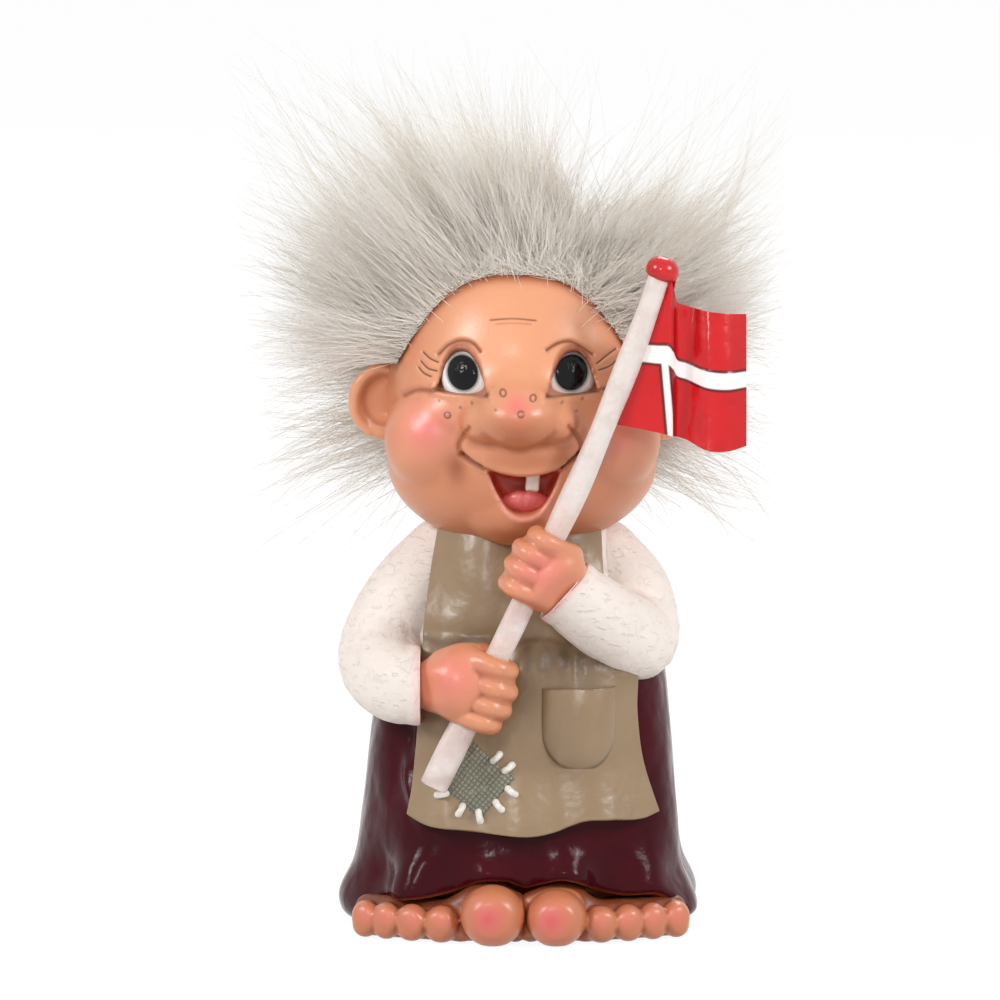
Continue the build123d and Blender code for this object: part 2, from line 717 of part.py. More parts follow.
with BuildPart() as flag_cross:
    with BuildSketch(Plane.XZ):
        with BuildLine():
            Polyline(
                (staff_low.X, cross_mid_staff - CROSS_WIDTH / 2),
                (staff_low.X, cross_mid_staff + CROSS_WIDTH / 2),
                (FLAG_RIGHT, cross_mid_fly + CROSS_WIDTH / 2),
                (FLAG_RIGHT, cross_mid_fly - CROSS_WIDTH / 2),
                close=True,
            )
        make_face()
        with Locations((FLAG_FOLD_X, cross_mid_fly)):
            Rectangle(CROSS_WIDTH, FLAG_TOP_AT_STAFF - FLAG_BOTTOM_AT_FLY)
    extrude(amount=FRONT_REACH)
    add(cross_wave, mode=Mode.INTERSECT)

with BuildPart() as flag:
    add(plain_wave)
    add(flag_cross.part)
    add(flag_outline.part, mode=Mode.INTERSECT)
    add(flag_staff.part, mode=Mode.SUBTRACT)
    add(head.part, mode=Mode.SUBTRACT)

# Hands and sleeves: the fists close round the staff, and each wrist is let into its cuff
arms = {
    "right": (RIGHT_SHOULDER, RIGHT_ELBOW, RIGHT_WRIST, RIGHT_GRIP_HEIGHT, -1),
    "left": (LEFT_SHOULDER, LEFT_ELBOW, LEFT_WRIST, LEFT_GRIP_HEIGHT, 1),
}
hands = {}
sleeves = {}
for side_name, (shoulder, elbow, wrist, grip_height, side) in arms.items():
    stub = wrist_stub(grip_height, side, wrist)
    sleeves[side_name] = less(sleeve(shoulder, elbow, wrist), body, apron.part, head.part, stub)
    hands[side_name] = less(hand(grip_height, side, stub), flag_staff.part, sleeves[side_name], apron.part)

pieces = {
    "skirt": skirt.part,
    "torso": torso.part,
    "right_foot": feet["right"],
    "left_foot": feet["left"],
    "apron": apron.part,
    "apron_pocket": apron_pocket.part,
    "apron_patch": apron_patch.part,
    "patch_stitches": patch_stitches.part,
    "right_sleeve": sleeves["right"],
    "left_sleeve": sleeves["left"],
    "right_hand": hands["right"],
    "left_hand": hands["left"],
    "flag_staff": staff_piece,
    "staff_knob": staff_knob.part,
    "flag": flag.part,
    "head": head.part,
    "right_ear": less(ears["right"], skull),
    "left_ear": less(ears["left"], skull),
    "right_eye": eyes["right"],
    "left_eye": eyes["left"],
    "tongue": tongue.part,
    "tooth": tooth.part,
    "wig_hide": wig_hide.part,
    "wig_fur": fur_piece,
}

os.makedirs("parts", exist_ok=True)
for name, piece in pieces.items():
    piece.label = name
    export_step(piece, f"parts/{name}.step")
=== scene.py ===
"""Looks of a laughing troll figure in a blouse, apron and skirt, with a fur wig and a flag on a staff."""

import math

import bmesh
import bpy
import numpy as np
from mathutils import Euler, Matrix, Vector


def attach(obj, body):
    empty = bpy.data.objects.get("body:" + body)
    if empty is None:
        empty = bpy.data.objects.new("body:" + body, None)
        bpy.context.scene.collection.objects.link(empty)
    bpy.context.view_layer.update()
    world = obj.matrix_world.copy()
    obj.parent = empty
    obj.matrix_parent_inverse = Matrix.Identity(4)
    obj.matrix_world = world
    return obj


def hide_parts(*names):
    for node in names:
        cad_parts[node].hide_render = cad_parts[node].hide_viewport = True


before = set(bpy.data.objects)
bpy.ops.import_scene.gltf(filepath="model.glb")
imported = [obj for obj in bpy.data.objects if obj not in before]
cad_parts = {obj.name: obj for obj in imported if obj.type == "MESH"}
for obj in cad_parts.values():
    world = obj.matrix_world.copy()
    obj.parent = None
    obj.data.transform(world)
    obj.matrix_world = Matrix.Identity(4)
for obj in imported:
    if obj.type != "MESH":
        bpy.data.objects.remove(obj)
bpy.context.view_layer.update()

bl_info = {
    "name": "Troll figure with flag",
    "version": (1, 0, 0),
    "blender": (4, 5, 0),
    "location": "3D View > Sidebar > Troll",
    "description": "Models and paints the troll figure around its packed parts",
    "category": "Object",
}

# All shapes are modelled in millimetres and brought to metres when they are handed over.
MM = 0.001


# Colours and settings

def srgb(red, green, blue):
    """A paint colour read on a screen, from 0 to 255, as linear light."""
    shares = [value / 255 for value in (red, green, blue)]
    return tuple(s / 12.92 if s < 0.04 else ((s + 0.055) / 1.055) ** 2.4 for s in shares)


def paint_property(name, description, red, green, blue):
    """A paint colour that a user can change."""
    return bpy.props.FloatVectorProperty(
        name=name, description=description, subtype="COLOR", size=3, min=0, max=1,
        default=srgb(red, green, blue))


def length_property(name, description, millimetres):
    """A length that a user can change."""
    return bpy.props.FloatProperty(
        name=name, description=description, unit="LENGTH", min=0, precision=5,
        default=millimetres * MM)


class TrollPaints(bpy.types.PropertyGroup):
    """Paint colours of the castings."""
    skin: paint_property("Skin", "Face, ears, hands and feet", 228, 158, 118)
    blush: paint_property("Blush", "Cheeks, nose tip, hands and toes", 232, 118, 116)
    # The wash paint also colours painted shade and shadows on the skin.
    wash_and_painted_shade: paint_property("Wash", "Brown wash that settles in creases", 146, 68, 30)
    mouth: paint_property("Mouth", "Inside of the mouth", 216, 88, 66)
    tongue: paint_property("Tongue", "Tongue", 226, 116, 114)
    blouse: paint_property("Blouse", "Blouse and sleeves", 240, 230, 222)
    apron: paint_property("Apron", "Apron and pocket", 150, 126, 97)
    patch: paint_property("Patch", "Woven patch", 142, 141, 124)
    stitch: paint_property("Stitches", "Stitches round the patch", 238, 235, 226)
    skirt: paint_property("Skirt", "Skirt", 70, 8, 20)
    staff: paint_property("Staff", "Flag staff", 226, 215, 209)
    flag: paint_property("Flag", "Cloth of the flag and the knob", 206, 22, 28)
    cross: paint_property("Cross", "Cross of the flag", 246, 242, 240)
    sclera: paint_property("Eye white", "White of the eyes", 246, 244, 240)
    iris: paint_property("Iris", "Black of the eyes", 14, 13, 15)
    tooth: paint_property("Tooth", "Tooth", 250, 246, 238)
    hair_root: paint_property("Hair roots", "Hair next to the hide", 250, 243, 232)
    hair_tip: paint_property("Hair tips", "Ends of the hair", 253, 249, 243)


class TrollSizes(bpy.types.PropertyGroup):
    """Sizes of the visible detail."""
    hem_fold: length_property("Hem folds", "Depth of the skirt's folds at the hem", 1.2)
    apron_thickness: length_property("Apron thickness", "Thickness of the apron", 1.4)
    flag_thickness: length_property("Flag thickness", "Thickness of the flag's cloth", 1.0)
    mouth_half_width: length_property("Mouth half width", "Half the width of the open mouth", 6.2)
    eye_half_width: length_property("Eye half width", "Half the width of an eye opening", 4.25)
    hair_length: length_property("Hair length", "Usual length of the long hair", 24.0)
    hair_radius: length_property("Hair radius", "Radius of a hair at its root", 0.05)
    hair_count: bpy.props.IntProperty(
        name="Hairs", description="How many short woolly hairs the wig has", default=30000, min=1000)
    hair_seed: bpy.props.IntProperty(
        name="Hair seed", description="Start of the hair's random numbers", default=7, min=0)


def paints():
    return bpy.context.scene.troll_paints


def sizes():
    return bpy.context.scene.troll_sizes


# Shader maths

class Value:
    """A shader socket in Python expressions."""

    def __init__(self, tree, socket):
        self.tree = tree
        self.socket = socket

    def math(self, operation, *terms):
        node = self.tree.nodes.new("ShaderNodeMath")
        node.operation = operation
        for socket, term in zip(node.inputs, terms):
            feed(self.tree, socket, term)
        return Value(self.tree, node.outputs[0])

    def __add__(self, other):
        return self.math("ADD", self, other)

    def __sub__(self, other):
        return self.math("SUBTRACT", self, other)

    def __mul__(self, other):
        return self.math("MULTIPLY", self, other)

    def __rsub__(self, other):
        return self.math("SUBTRACT", other, self)

    def __radd__(self, other):
        return self.math("ADD", other, self)

    def __rmul__(self, other):
        return self.math("MULTIPLY", other, self)

    def __or__(self, other):
        return self.math("MAXIMUM", self, other)


def feed(tree, socket, item):
    """Links an item to a socket, or sets it there."""
    if isinstance(item, Value):
        tree.links.new(item.socket, socket)
    elif socket.type == "RGBA" and len(item) == 3:
        socket.default_value = (*item, 1)
    else:
        socket.default_value = item


class Finish:
    """A painted surface, built from shader nodes on the piece's own coordinates in millimetres."""

    def __init__(self, name):
        self.material = bpy.data.materials.new(name)
        self.material.use_nodes = True
        self.tree = self.material.node_tree
        self.tree.nodes.clear()
        objects = self.node("TexCoord", {}, {}, "Object")
        self.place = self.node("VectorMath", {"operation": "SCALE"}, {0: objects, "Scale": 1 / MM})

    def node(self, kind, settings, inputs, output=0):
        """One node of this kind: its settings first, then its sockets; gives the output's value."""
        made = self.tree.nodes.new("ShaderNode" + kind)
        for key, setting in settings.items():
            setattr(made, key, setting)
        for key, item in inputs.items():
            feed(self.tree, made.inputs[key], item)
        return Value(self.tree, made.outputs[output]) if len(made.outputs) else None

    def ramp(self, value, low, high, at_low=0.0, at_high=1.0):
        """A smooth step from one level at low to another at high."""
        return self.node("MapRange", {"interpolation_type": "SMOOTHSTEP"},
                         {"Value": value, "From Min": low, "From Max": high,
                          "To Min": at_low, "To Max": at_high})

    def noise(self, grains, detail=2.0):
        """Uneven noise with this many grains to the millimetre."""
        return self.node("TexNoise", {}, {"Vector": self.place, "Scale": grains, "Detail": detail})

    def cells(self, grains):
        """Distance to the edges of irregular cells, this many to the millimetre."""
        return self.node("TexVoronoi", {"feature": "DISTANCE_TO_EDGE"},
                         {"Vector": self.place, "Scale": grains}, "Distance")

    def spot(self, centre, half_sizes, soft):
        """A mask that is 1 inside an ellipsoid and fades out over the soft share of its size."""
        offset = self.node("VectorMath", {"operation": "SUBTRACT"}, {0: self.place, 1: centre})
        shares = self.node("VectorMath", {"operation": "DIVIDE"}, {0: offset, 1: half_sizes})
        distance = self.node("VectorMath", {"operation": "LENGTH"}, {0: shares}, "Value")
        return self.ramp(distance, 1 - soft, 1 + soft, 1.0, 0.0)

    def mark(self, name):
        """A mask kept on the mesh's points."""
        return self.node("Attribute", {"attribute_name": name}, {}, "Fac")

    def mix(self, share, first, second):
        """Colours mixed by a share."""
        return self.node("Mix", {"data_type": "RGBA"}, {0: share, 6: first, 7: second}, 2)

    def brushed(self, colour, shade, share, grains):
        """A paint with soft patches of a close shade, this many to the millimetre."""
        return self.mix(self.ramp(self.noise(grains, 3), 0.35, 0.7) * share, colour, shade)

    def bump(self, height, depth):
        """A normal bent by a height field of this depth in millimetres."""
        return self.node("Bump", {}, {"Height": height, "Distance": depth * MM})

    def varnish(self, colour, roughness, normal=None, specular=0.5):
        """Closes the material with painted resin of this colour."""
        sockets = {"Base Color": colour, "Roughness": roughness, "Specular IOR Level": specular}
        if normal is not None:
            sockets["Normal"] = normal
        shader = self.node("BsdfPrincipled", {}, sockets)
        self.node("OutputMaterial", {}, {"Surface": shader})
        return self.material


# Shapes

def ease(place, stations, heights):
    """A smooth curve through the heights at the stations, read at place."""
    stations = np.asarray(stations, float)
    heights = np.asarray(heights, float)
    slopes = np.gradient(heights, stations)
    place = np.clip(place, stations[0], stations[-1])
    index = np.clip(np.searchsorted(stations, place) - 1, 0, len(stations) - 2)
    span = stations[index + 1] - stations[index]
    t = (place - stations[index]) / span
    start = (1 + 2 * t) * (1 - t) ** 2 * heights[index] + t * (1 - t) ** 2 * span * slopes[index]
    end = t ** 2 * (3 - 2 * t) * heights[index + 1] + t ** 2 * (t - 1) * span * slopes[index + 1]
    return start + end


def step(value, low, high):
    """A smooth step from 0 at low to 1 at high."""
    t = np.clip((value - low) / (high - low), 0, 1)
    return t * t * (3 - 2 * t)


def bell(value, centre, width):
    """A soft bump of height 1."""
    return np.exp(-((value - centre) / width) ** 2)


def smooth_line(points, spacing):
    """Points along a smooth line through the given ones, about this far apart."""
    points = np.asarray(points, float)
    lengths = np.linalg.norm(np.diff(points, axis=0), axis=1)
    stations = np.concatenate(([0], np.cumsum(lengths)))
    places = np.linspace(0, stations[-1], max(2, int(stations[-1] / spacing) + 1))
    return np.stack([ease(places, stations, column) for column in points.T], axis=1)


def rows_of(x, y, z):
    """One row of x, y and z for each point."""
    return np.stack((x, y, z), axis=1)


def mesh_of(form, name):
    """The mesh of a finished form."""
    mesh = bpy.data.meshes.new(name)
    form.to_mesh(mesh)
    form.free()
    return mesh


def modified(mesh, *modifiers):
    """The mesh after these modifiers, each given as a kind and its settings."""
    holder = bpy.data.objects.new("shape", mesh)
    bpy.context.scene.collection.objects.link(holder)
    for kind, settings in modifiers:
        modifier = holder.modifiers.new(kind.lower(), kind)
        for key, setting in settings.items():
            setattr(modifier, key, setting)
    graph = bpy.context.evaluated_depsgraph_get()
    result = bpy.data.meshes.new_from_object(holder.evaluated_get(graph))
    bpy.data.objects.remove(holder)
    return result


class Skin:
    """A mesh in millimetres whose points can be pushed and marked."""

    def __init__(self, mesh):
        self.mesh = mesh
        flat = np.empty(len(mesh.vertices) * 3)
        mesh.vertices.foreach_get("co", flat)
        self.points = flat.reshape(-1, 3)
        self.marks = {}

    def settle(self):
        """Writes the pushed points and marks into the mesh, and gives it."""
        self.mesh.vertices.foreach_set("co", self.points.astype(np.float32).ravel())
        for name, strength in self.marks.items():
            kept = self.mesh.attributes.get(name) or self.mesh.attributes.new(name, "FLOAT", "POINT")
            kept.data.foreach_set("value", np.clip(strength, 0, 1).astype(np.float32))
        self.mesh.update()
        return self.mesh

    def normals(self):
        self.settle()
        flat = np.empty(len(self.points) * 3, np.float32)
        self.mesh.vertex_normals.foreach_get("vector", flat)
        return flat.reshape(-1, 3).astype(float)

    def swell(self, amount):
        """Moves each point out along its normal by its own amount."""
        self.points += self.normals() * np.asarray(amount)[:, None]

    def add_mark(self, name, strength):
        """Keeps the stronger of an old and a new mark."""
        old = self.marks.get(name, np.zeros(len(self.points)))
        self.marks[name] = np.maximum(old, strength)

    def clip(self, place, direction, where=True):
        """Flattens all that lies beyond a plane onto it, at the chosen points."""
        direction = np.asarray(direction, float) / np.linalg.norm(direction)
        beyond = np.maximum((self.points - place) @ direction, 0) * where
        self.points -= beyond[:, None] * direction

    def averaged(self, rounds):
        """The points after each has moved to the middle of its neighbours this many times."""
        ends = np.empty(len(self.mesh.edges) * 2, np.int32)
        self.mesh.edges.foreach_get("vertices", ends)
        first, second = ends[0::2], ends[1::2]
        count = len(self.points)
        near = np.maximum(np.bincount(ends, minlength=count), 1)
        soft = self.points.copy()
        for _ in range(rounds):
            for axis in range(3):
                sums = np.bincount(first, soft[second, axis], count)
                sums += np.bincount(second, soft[first, axis], count)
                soft[:, axis] = sums / near
        return soft

    def relax(self, mask, rounds):
        """Smooths the places where the mask is 1."""
        self.points += np.clip(mask, 0, 1)[:, None] * (self.averaged(rounds) - self.points)

    def finer(self, mask):
        """A skin whose faces are cut in four where the mask holds at all their corners."""
        form = bmesh.new()
        form.from_mesh(self.settle())
        chosen = [face for face in form.faces if all(mask[vert.index] for vert in face.verts)]
        edges = {edge for face in chosen for edge in face.edges}
        bmesh.ops.subdivide_edges(form, edges=list(edges), cuts=1, use_grid_fill=True)
        form.to_mesh(self.mesh)
        form.free()
        return Skin(self.mesh)

    def hollows(self, rounds, depth):
        """How deep each point lies in a crease, from 0 to 1 at this depth."""
        rise = np.einsum("ij,ij->i", self.averaged(rounds) - self.points, self.normals())
        return np.clip(rise / depth, 0, 1)

    def distance(self, line):
        """Distance of each point from a line drawn on the front as x, z."""
        flat = self.points[:, (0, 2)]
        nearest = np.full(len(flat), np.inf)
        drawn = smooth_line(line, 0.5)
        for start, end in zip(drawn[:-1], drawn[1:]):
            run = end - start
            share = np.clip((flat - start) @ run / max(run @ run, 1e-9), 0, 1)
            nearest = np.minimum(nearest, np.linalg.norm(flat - start - share[:, None] * run, axis=1))
        return nearest


class Clay:
    """Balls, eggs and rolled ropes of clay, in millimetres, that fuse into one skin."""

    def __init__(self):
        self.form = bmesh.new()

    def ball(self, place, half_sizes, lean=(0, 0, 0), detail=4):
        turn = Euler([math.radians(angle) for angle in lean]).to_matrix().to_4x4()
        matrix = Matrix.Translation(place) @ turn @ Matrix.Diagonal((*half_sizes, 1))
        made = bmesh.ops.create_icosphere(self.form, subdivisions=detail, radius=1, matrix=matrix)
        return made["verts"]

    def egg(self, place, half_width, half_depth, below, above):
        """A ball whose lower and upper halves have their own heights."""
        middle = place[2]
        for vert in self.ball(place, (half_width, half_depth, 1), detail=6):
            rise = vert.co.z - middle
            vert.co.z = middle + rise * (above if rise > 0 else below)

    def rope(self, points, radii, spacing=0.5):
        """A rolled rope along a smooth line, with a radius at each given point."""
        rows = np.column_stack((points, np.broadcast_to(radii, len(points))))
        for x, y, z, radius in smooth_line(rows, spacing):
            self.ball((x, y, z), (radius, radius, radius), detail=3)

    def fuse(self, voxel, smoothing):
        """One closed skin round all the clay."""
        return Skin(refined(mesh_of(self.form, "clay"), voxel, smoothing))


def refined(mesh, voxel, smoothing):
    """The mesh with even small faces all over, smoothed this many times."""
    steps = [("REMESH", {"mode": "VOXEL", "voxel_size": voxel, "use_smooth_shade": True})]
    if smoothing:
        steps.append(("SMOOTH", {"factor": 0.5, "iterations": smoothing}))
    return modified(mesh, *steps)


def wrapped(columns, rows, place):
    """A grid laid out by place(u, v), with u and v from -1 to 1, and its seams closed."""
    form = bmesh.new()
    bmesh.ops.create_grid(form, x_segments=columns, y_segments=rows, size=1)
    flat = np.array([vert.co[:2] for vert in form.verts])
    laid = place(flat[:, 0], flat[:, 1])
    for vert, point in zip(form.verts, laid):
        vert.co = point
    bmesh.ops.remove_doubles(form, verts=form.verts, dist=0.001)
    return mesh_of(form, "wrapped")


def hand_over(name, mesh, material, slot, *nodes):
    """Makes a piece of a mesh in millimetres: smooth, painted, and standing for its nodes."""
    mesh.transform(Matrix.Scale(MM, 4))
    mesh.shade_smooth()
    mesh.materials.clear()
    mesh.materials.append(material)
    piece = bpy.data.objects.new(name, mesh)
    bpy.context.scene.collection.objects.link(piece)
    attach(piece, "root")
    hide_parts(*nodes)


# The figure's own lines

# Height, half width and half depth of the body, from the hem to the neck.
BODY_LEVELS = ((0, 28.8, 23.5), (3.5, 29.8, 25), (10, 27.4, 24), (19, 26.3, 22),
               (34, 24.9, 20.3), (44, 23.6, 19), (56, 19, 15.5), (70, 13.5, 12))
SQUARENESS = 2.5
FOLD_COUNT = 7
WAIST = 44

# A place on each cuff, and the way out of the sleeve there.
CUFFS = {"right": (np.array((-16.9, -25.0, 43.0)), np.array((1.0, 0.0, 0.0))),
         "left": (np.array((7.0, -25.0, 59.0)), np.array((-0.75, 0.0, 0.66)))}

# The bowed staff: places along it as x, y, z, and its radius there.
STAFF_LINE = ((-14.6, -27, 26.8), (-8.1, -27.2, 40.3), (-2.1, -27.3, 52.5), (3.4, -27.3, 64.5),
              (9.4, -27.2, 77.5), (15.8, -27.1, 93), (22.6, -27, 111.6))
STAFF_RADII = (2.4, 2.25, 2.0, 2.05, 2.1, 2.05, 1.95)


def body_section(height):
    levels = np.array(BODY_LEVELS)
    return ease(height, levels[:, 0], levels[:, 1]), ease(height, levels[:, 0], levels[:, 2])


def body_radius(turn, height):
    """Distance of the body's skin from its axis."""
    half_width, half_depth = body_section(height)
    across = np.abs(np.cos(turn)) / half_width
    along = np.abs(np.sin(turn)) / half_depth
    return (across ** SQUARENESS + along ** SQUARENESS) ** (-1 / SQUARENESS)


def body_front(x, height):
    """Depth of the body's front at a place seen from the front."""
    half_width, half_depth = body_section(height)
    share = np.clip(np.abs(x) / half_width, 0, 0.98)
    return -half_depth * (1 - share ** SQUARENESS) ** (1 / SQUARENESS)


def staff_x(height):
    line = np.array(STAFF_LINE)
    return ease(height, line[:, 2], line[:, 0])


# Paints

def resin_skin(name):
    """Warm skin paint: uneven tan, pink blush, a brown wash in the creases, and painted shade on undersides,
    sides, the lower face and along the wig's edge.
    """
    finish = Finish(name)
    paint = paints()
    colour = finish.brushed(paint.skin, srgb(214, 142, 102), 0.25, 0.09)
    # Painted shade: the shade mark darkens the skin towards brown on undersides and sides, and all over the
    # hands and feet; on the face it is partly the figure's own airbrushed brown.
    colour = finish.mix(finish.mark("shade") * 0.75, colour, srgb(180, 96, 54))
    colour = finish.mix(finish.mark("blush") * 0.8, colour, paint.blush)
    colour = finish.mix(finish.mark("flush"), colour, srgb(206, 74, 78))
    # The wash mark holds the brown wash in creases together with painted shade and shadows, such as the
    # wig's shadow along the hairline.
    wash_and_painted_shade = finish.mark("wash_and_painted_shade") * (0.75 + finish.noise(0.8) * 0.3)
    colour = finish.mix(wash_and_painted_shade, colour, paint.wash_and_painted_shade)
    colour = finish.mix(finish.mark("lip"), colour, srgb(238, 158, 136))
    colour = finish.mix(finish.mark("line"), colour, srgb(84, 40, 22))
    colour = finish.mix(finish.mark("mouth"), colour, paint.mouth)
    roughness = 0.28 + finish.noise(0.5) * 0.1 + finish.mark("wash_and_painted_shade") * 0.1
    grain = finish.bump(finish.noise(1.6, 3), 0.03)
    return finish.varnish(colour, roughness, grain, specular=0.6)


def crackled_blouse(name):
    """Off-white paint over a surface that is scored with fine zigzag cracks."""
    finish = Finish(name)
    paint = paints()
    gaps = finish.ramp(finish.noise(0.35, 2), 0.48, 0.62)
    flat = finish.node("VectorMath", {"operation": "MULTIPLY"}, {0: finish.place, 1: (0.45, 0.45, 1.3)})
    dashes = finish.node("TexNoise", {}, {"Vector": flat, "Scale": 1.0, "Detail": 3.0})
    score = finish.ramp(finish.cells(0.5), 0.0, 0.045, 0.6, 0.0) * gaps | finish.ramp(dashes, 0.58, 0.7)
    cloud = finish.ramp(finish.noise(0.12, 3), 0.4, 0.75)
    colour = finish.mix(cloud * 0.3, paint.blouse, srgb(236, 221, 210))
    colour = finish.mix(score * 0.12, colour, srgb(214, 194, 178))
    # Darker pinkish grey in the sleeves' hollows and where the blouse meets the skirt.
    colour = finish.mix(finish.mark("wash_and_painted_shade") * 0.55, colour, srgb(206, 168, 150))
    colour = finish.mix(finish.mark("blush") * 0.5, colour, srgb(240, 190, 182))
    relief = finish.noise(0.5, 3) - score * 0.4
    return finish.varnish(colour, 0.5 + finish.noise(0.6) * 0.1, finish.bump(relief, 0.28), specular=0.35)


def glossy_apron(name):
    """Taupe paint with a brown wash in its creases and painted shade under the arms and hands and along the
    hem, under varnish.
    """
    finish = Finish(name)
    paint = paints()
    colour = finish.brushed(paint.apron, srgb(132, 107, 79), 0.4, 0.1)
    # Brown where the wash mark is set: wash in the creases and painted shade.
    colour = finish.mix(finish.mark("wash_and_painted_shade") * 0.75, colour, srgb(78, 55, 34))
    relief = finish.noise(0.22, 2) + finish.noise(0.9, 2) * 0.15
    return finish.varnish(colour, 0.24 + finish.noise(0.4) * 0.14, finish.bump(relief, 0.3), specular=0.5)


def deep_skirt(name):
    """Deep burgundy paint under a high gloss, with an orange-brown wash under the hem."""
    finish = Finish(name)
    paint = paints()
    colour = finish.brushed(paint.skirt, srgb(46, 6, 14), 0.5, 0.08)
    colour = finish.mix(finish.mark("wash_and_painted_shade"), colour, srgb(146, 74, 34))
    relief = finish.noise(0.17, 1) + finish.noise(0.6, 2) * 0.12
    roughness = 0.12 + finish.noise(0.3) * 0.1
    return finish.varnish(colour, roughness, finish.bump(relief, 0.62), specular=0.11)


def woven_patch(name):
    """Grey-green paint over a plain weave."""
    finish = Finish(name)
    paint = paints()
    turned = finish.node("Mapping", {}, {"Vector": finish.place, "Rotation": (0, PATCH_TURN, 0)})
    threads = []
    for direction in ("X", "Z"):
        bands = {"wave_type": "BANDS", "bands_direction": direction}
        sockets = {"Vector": turned, "Scale": 0.44, "Distortion": 2.2, "Detail": 3.0}
        threads.append(finish.ramp(finish.node("TexWave", bands, sockets, "Fac"), 0.0, 0.25))
    weave = threads[0] * threads[1]
    colour = finish.mix(weave, srgb(112, 110, 94), paint.patch)
    colour = finish.mix(finish.ramp(finish.noise(0.7), 0.55, 0.7) * 0.4, colour, srgb(172, 172, 158))
    return finish.varnish(colour, 0.5 + finish.noise(1.0) * 0.1, finish.bump(weave, 0.1), specular=0.35)


def plain_gloss(name, colour, shade, roughness=0.25, grains=0.3, depth=0.08, specular=0.5):
    """Brushed gloss paint in two close shades."""
    finish = Finish(name)
    mixed = finish.brushed(colour, shade, 0.5, grains)
    mixed = finish.mix(finish.mark("blush") * 0.6, mixed, srgb(232, 176, 164))
    mixed = finish.mix(finish.mark("wash_and_painted_shade") * 0.6, mixed, srgb(150, 96, 70))
    return finish.varnish(mixed, roughness + finish.noise(0.7) * 0.1,
                          finish.bump(finish.noise(0.9, 3), depth), specular=specular)


def cross_flag(name):
    """Bright red gloss with a white cross, each edge of it drawn by a thin dark line."""
    finish = Finish(name)
    paint = paints()
    cross = finish.mark("cross")
    red = finish.brushed(paint.flag, srgb(176, 14, 22), 0.4, 0.15)
    # Darker red for the painted shade marked in the fold and by the staff.
    red = finish.mix(finish.mark("wash_and_painted_shade") * 0.6, red, srgb(92, 8, 12))
    colour = finish.mix(finish.ramp(cross, 0.3, 0.42), red, srgb(110, 16, 18))
    colour = finish.mix(finish.ramp(cross, 0.5, 0.62), colour, paint.cross)
    relief = finish.noise(0.35, 3)
    return finish.varnish(colour, 0.16 + finish.noise(0.5) * 0.1, finish.bump(relief, 0.16), specular=0.4)


def glossy_eye(name, centre, half_sizes):
    """White eye with a glossy black iris and its thin brown-grey rim."""
    finish = Finish(name)
    paint = paints()
    x, z = centre
    wide, high = half_sizes
    iris = finish.spot((x, 0, z), (wide, 1000, high), 0.06)
    rim = finish.spot((x, 0, z), (wide * 1.12, 1000, high * 1.12), 0.08)
    colour = finish.mix(finish.noise(0.4) * 0.15, paint.sclera, srgb(222, 212, 204))
    colour = finish.mix(rim * 0.6, colour, srgb(96, 84, 80))
    colour = finish.mix(iris, colour, paint.iris)
    brushed = finish.bump(finish.noise(1.1, 2), 0.1)
    return finish.varnish(colour, 0.05 + finish.noise(0.6) * 0.04, brushed, specular=0.2)


def fine_hair(name):
    """Grey at the roots and near white at the tips, each hair in its own shade."""
    finish = Finish(name)
    paint = paints()
    map_place = finish.node("UVMap", {"uv_map": "OFBake"}, {})
    shade = finish.node("SeparateXYZ", {}, {0: map_place}, "X")
    along = finish.node("SeparateXYZ", {}, {0: map_place}, "Y")
    colour = finish.mix(along, paint.hair_root, paint.hair_tip)
    colour = finish.mix(finish.ramp(shade, 0.6, 1.0) * 0.65, colour, srgb(196, 180, 160))
    colour = finish.mix(finish.ramp(shade, 0.45, 0.0) * 0.6, colour, srgb(255, 253, 250))
    return finish.varnish(colour, 0.42 + shade * 0.16, specular=0.4)


# Pieces

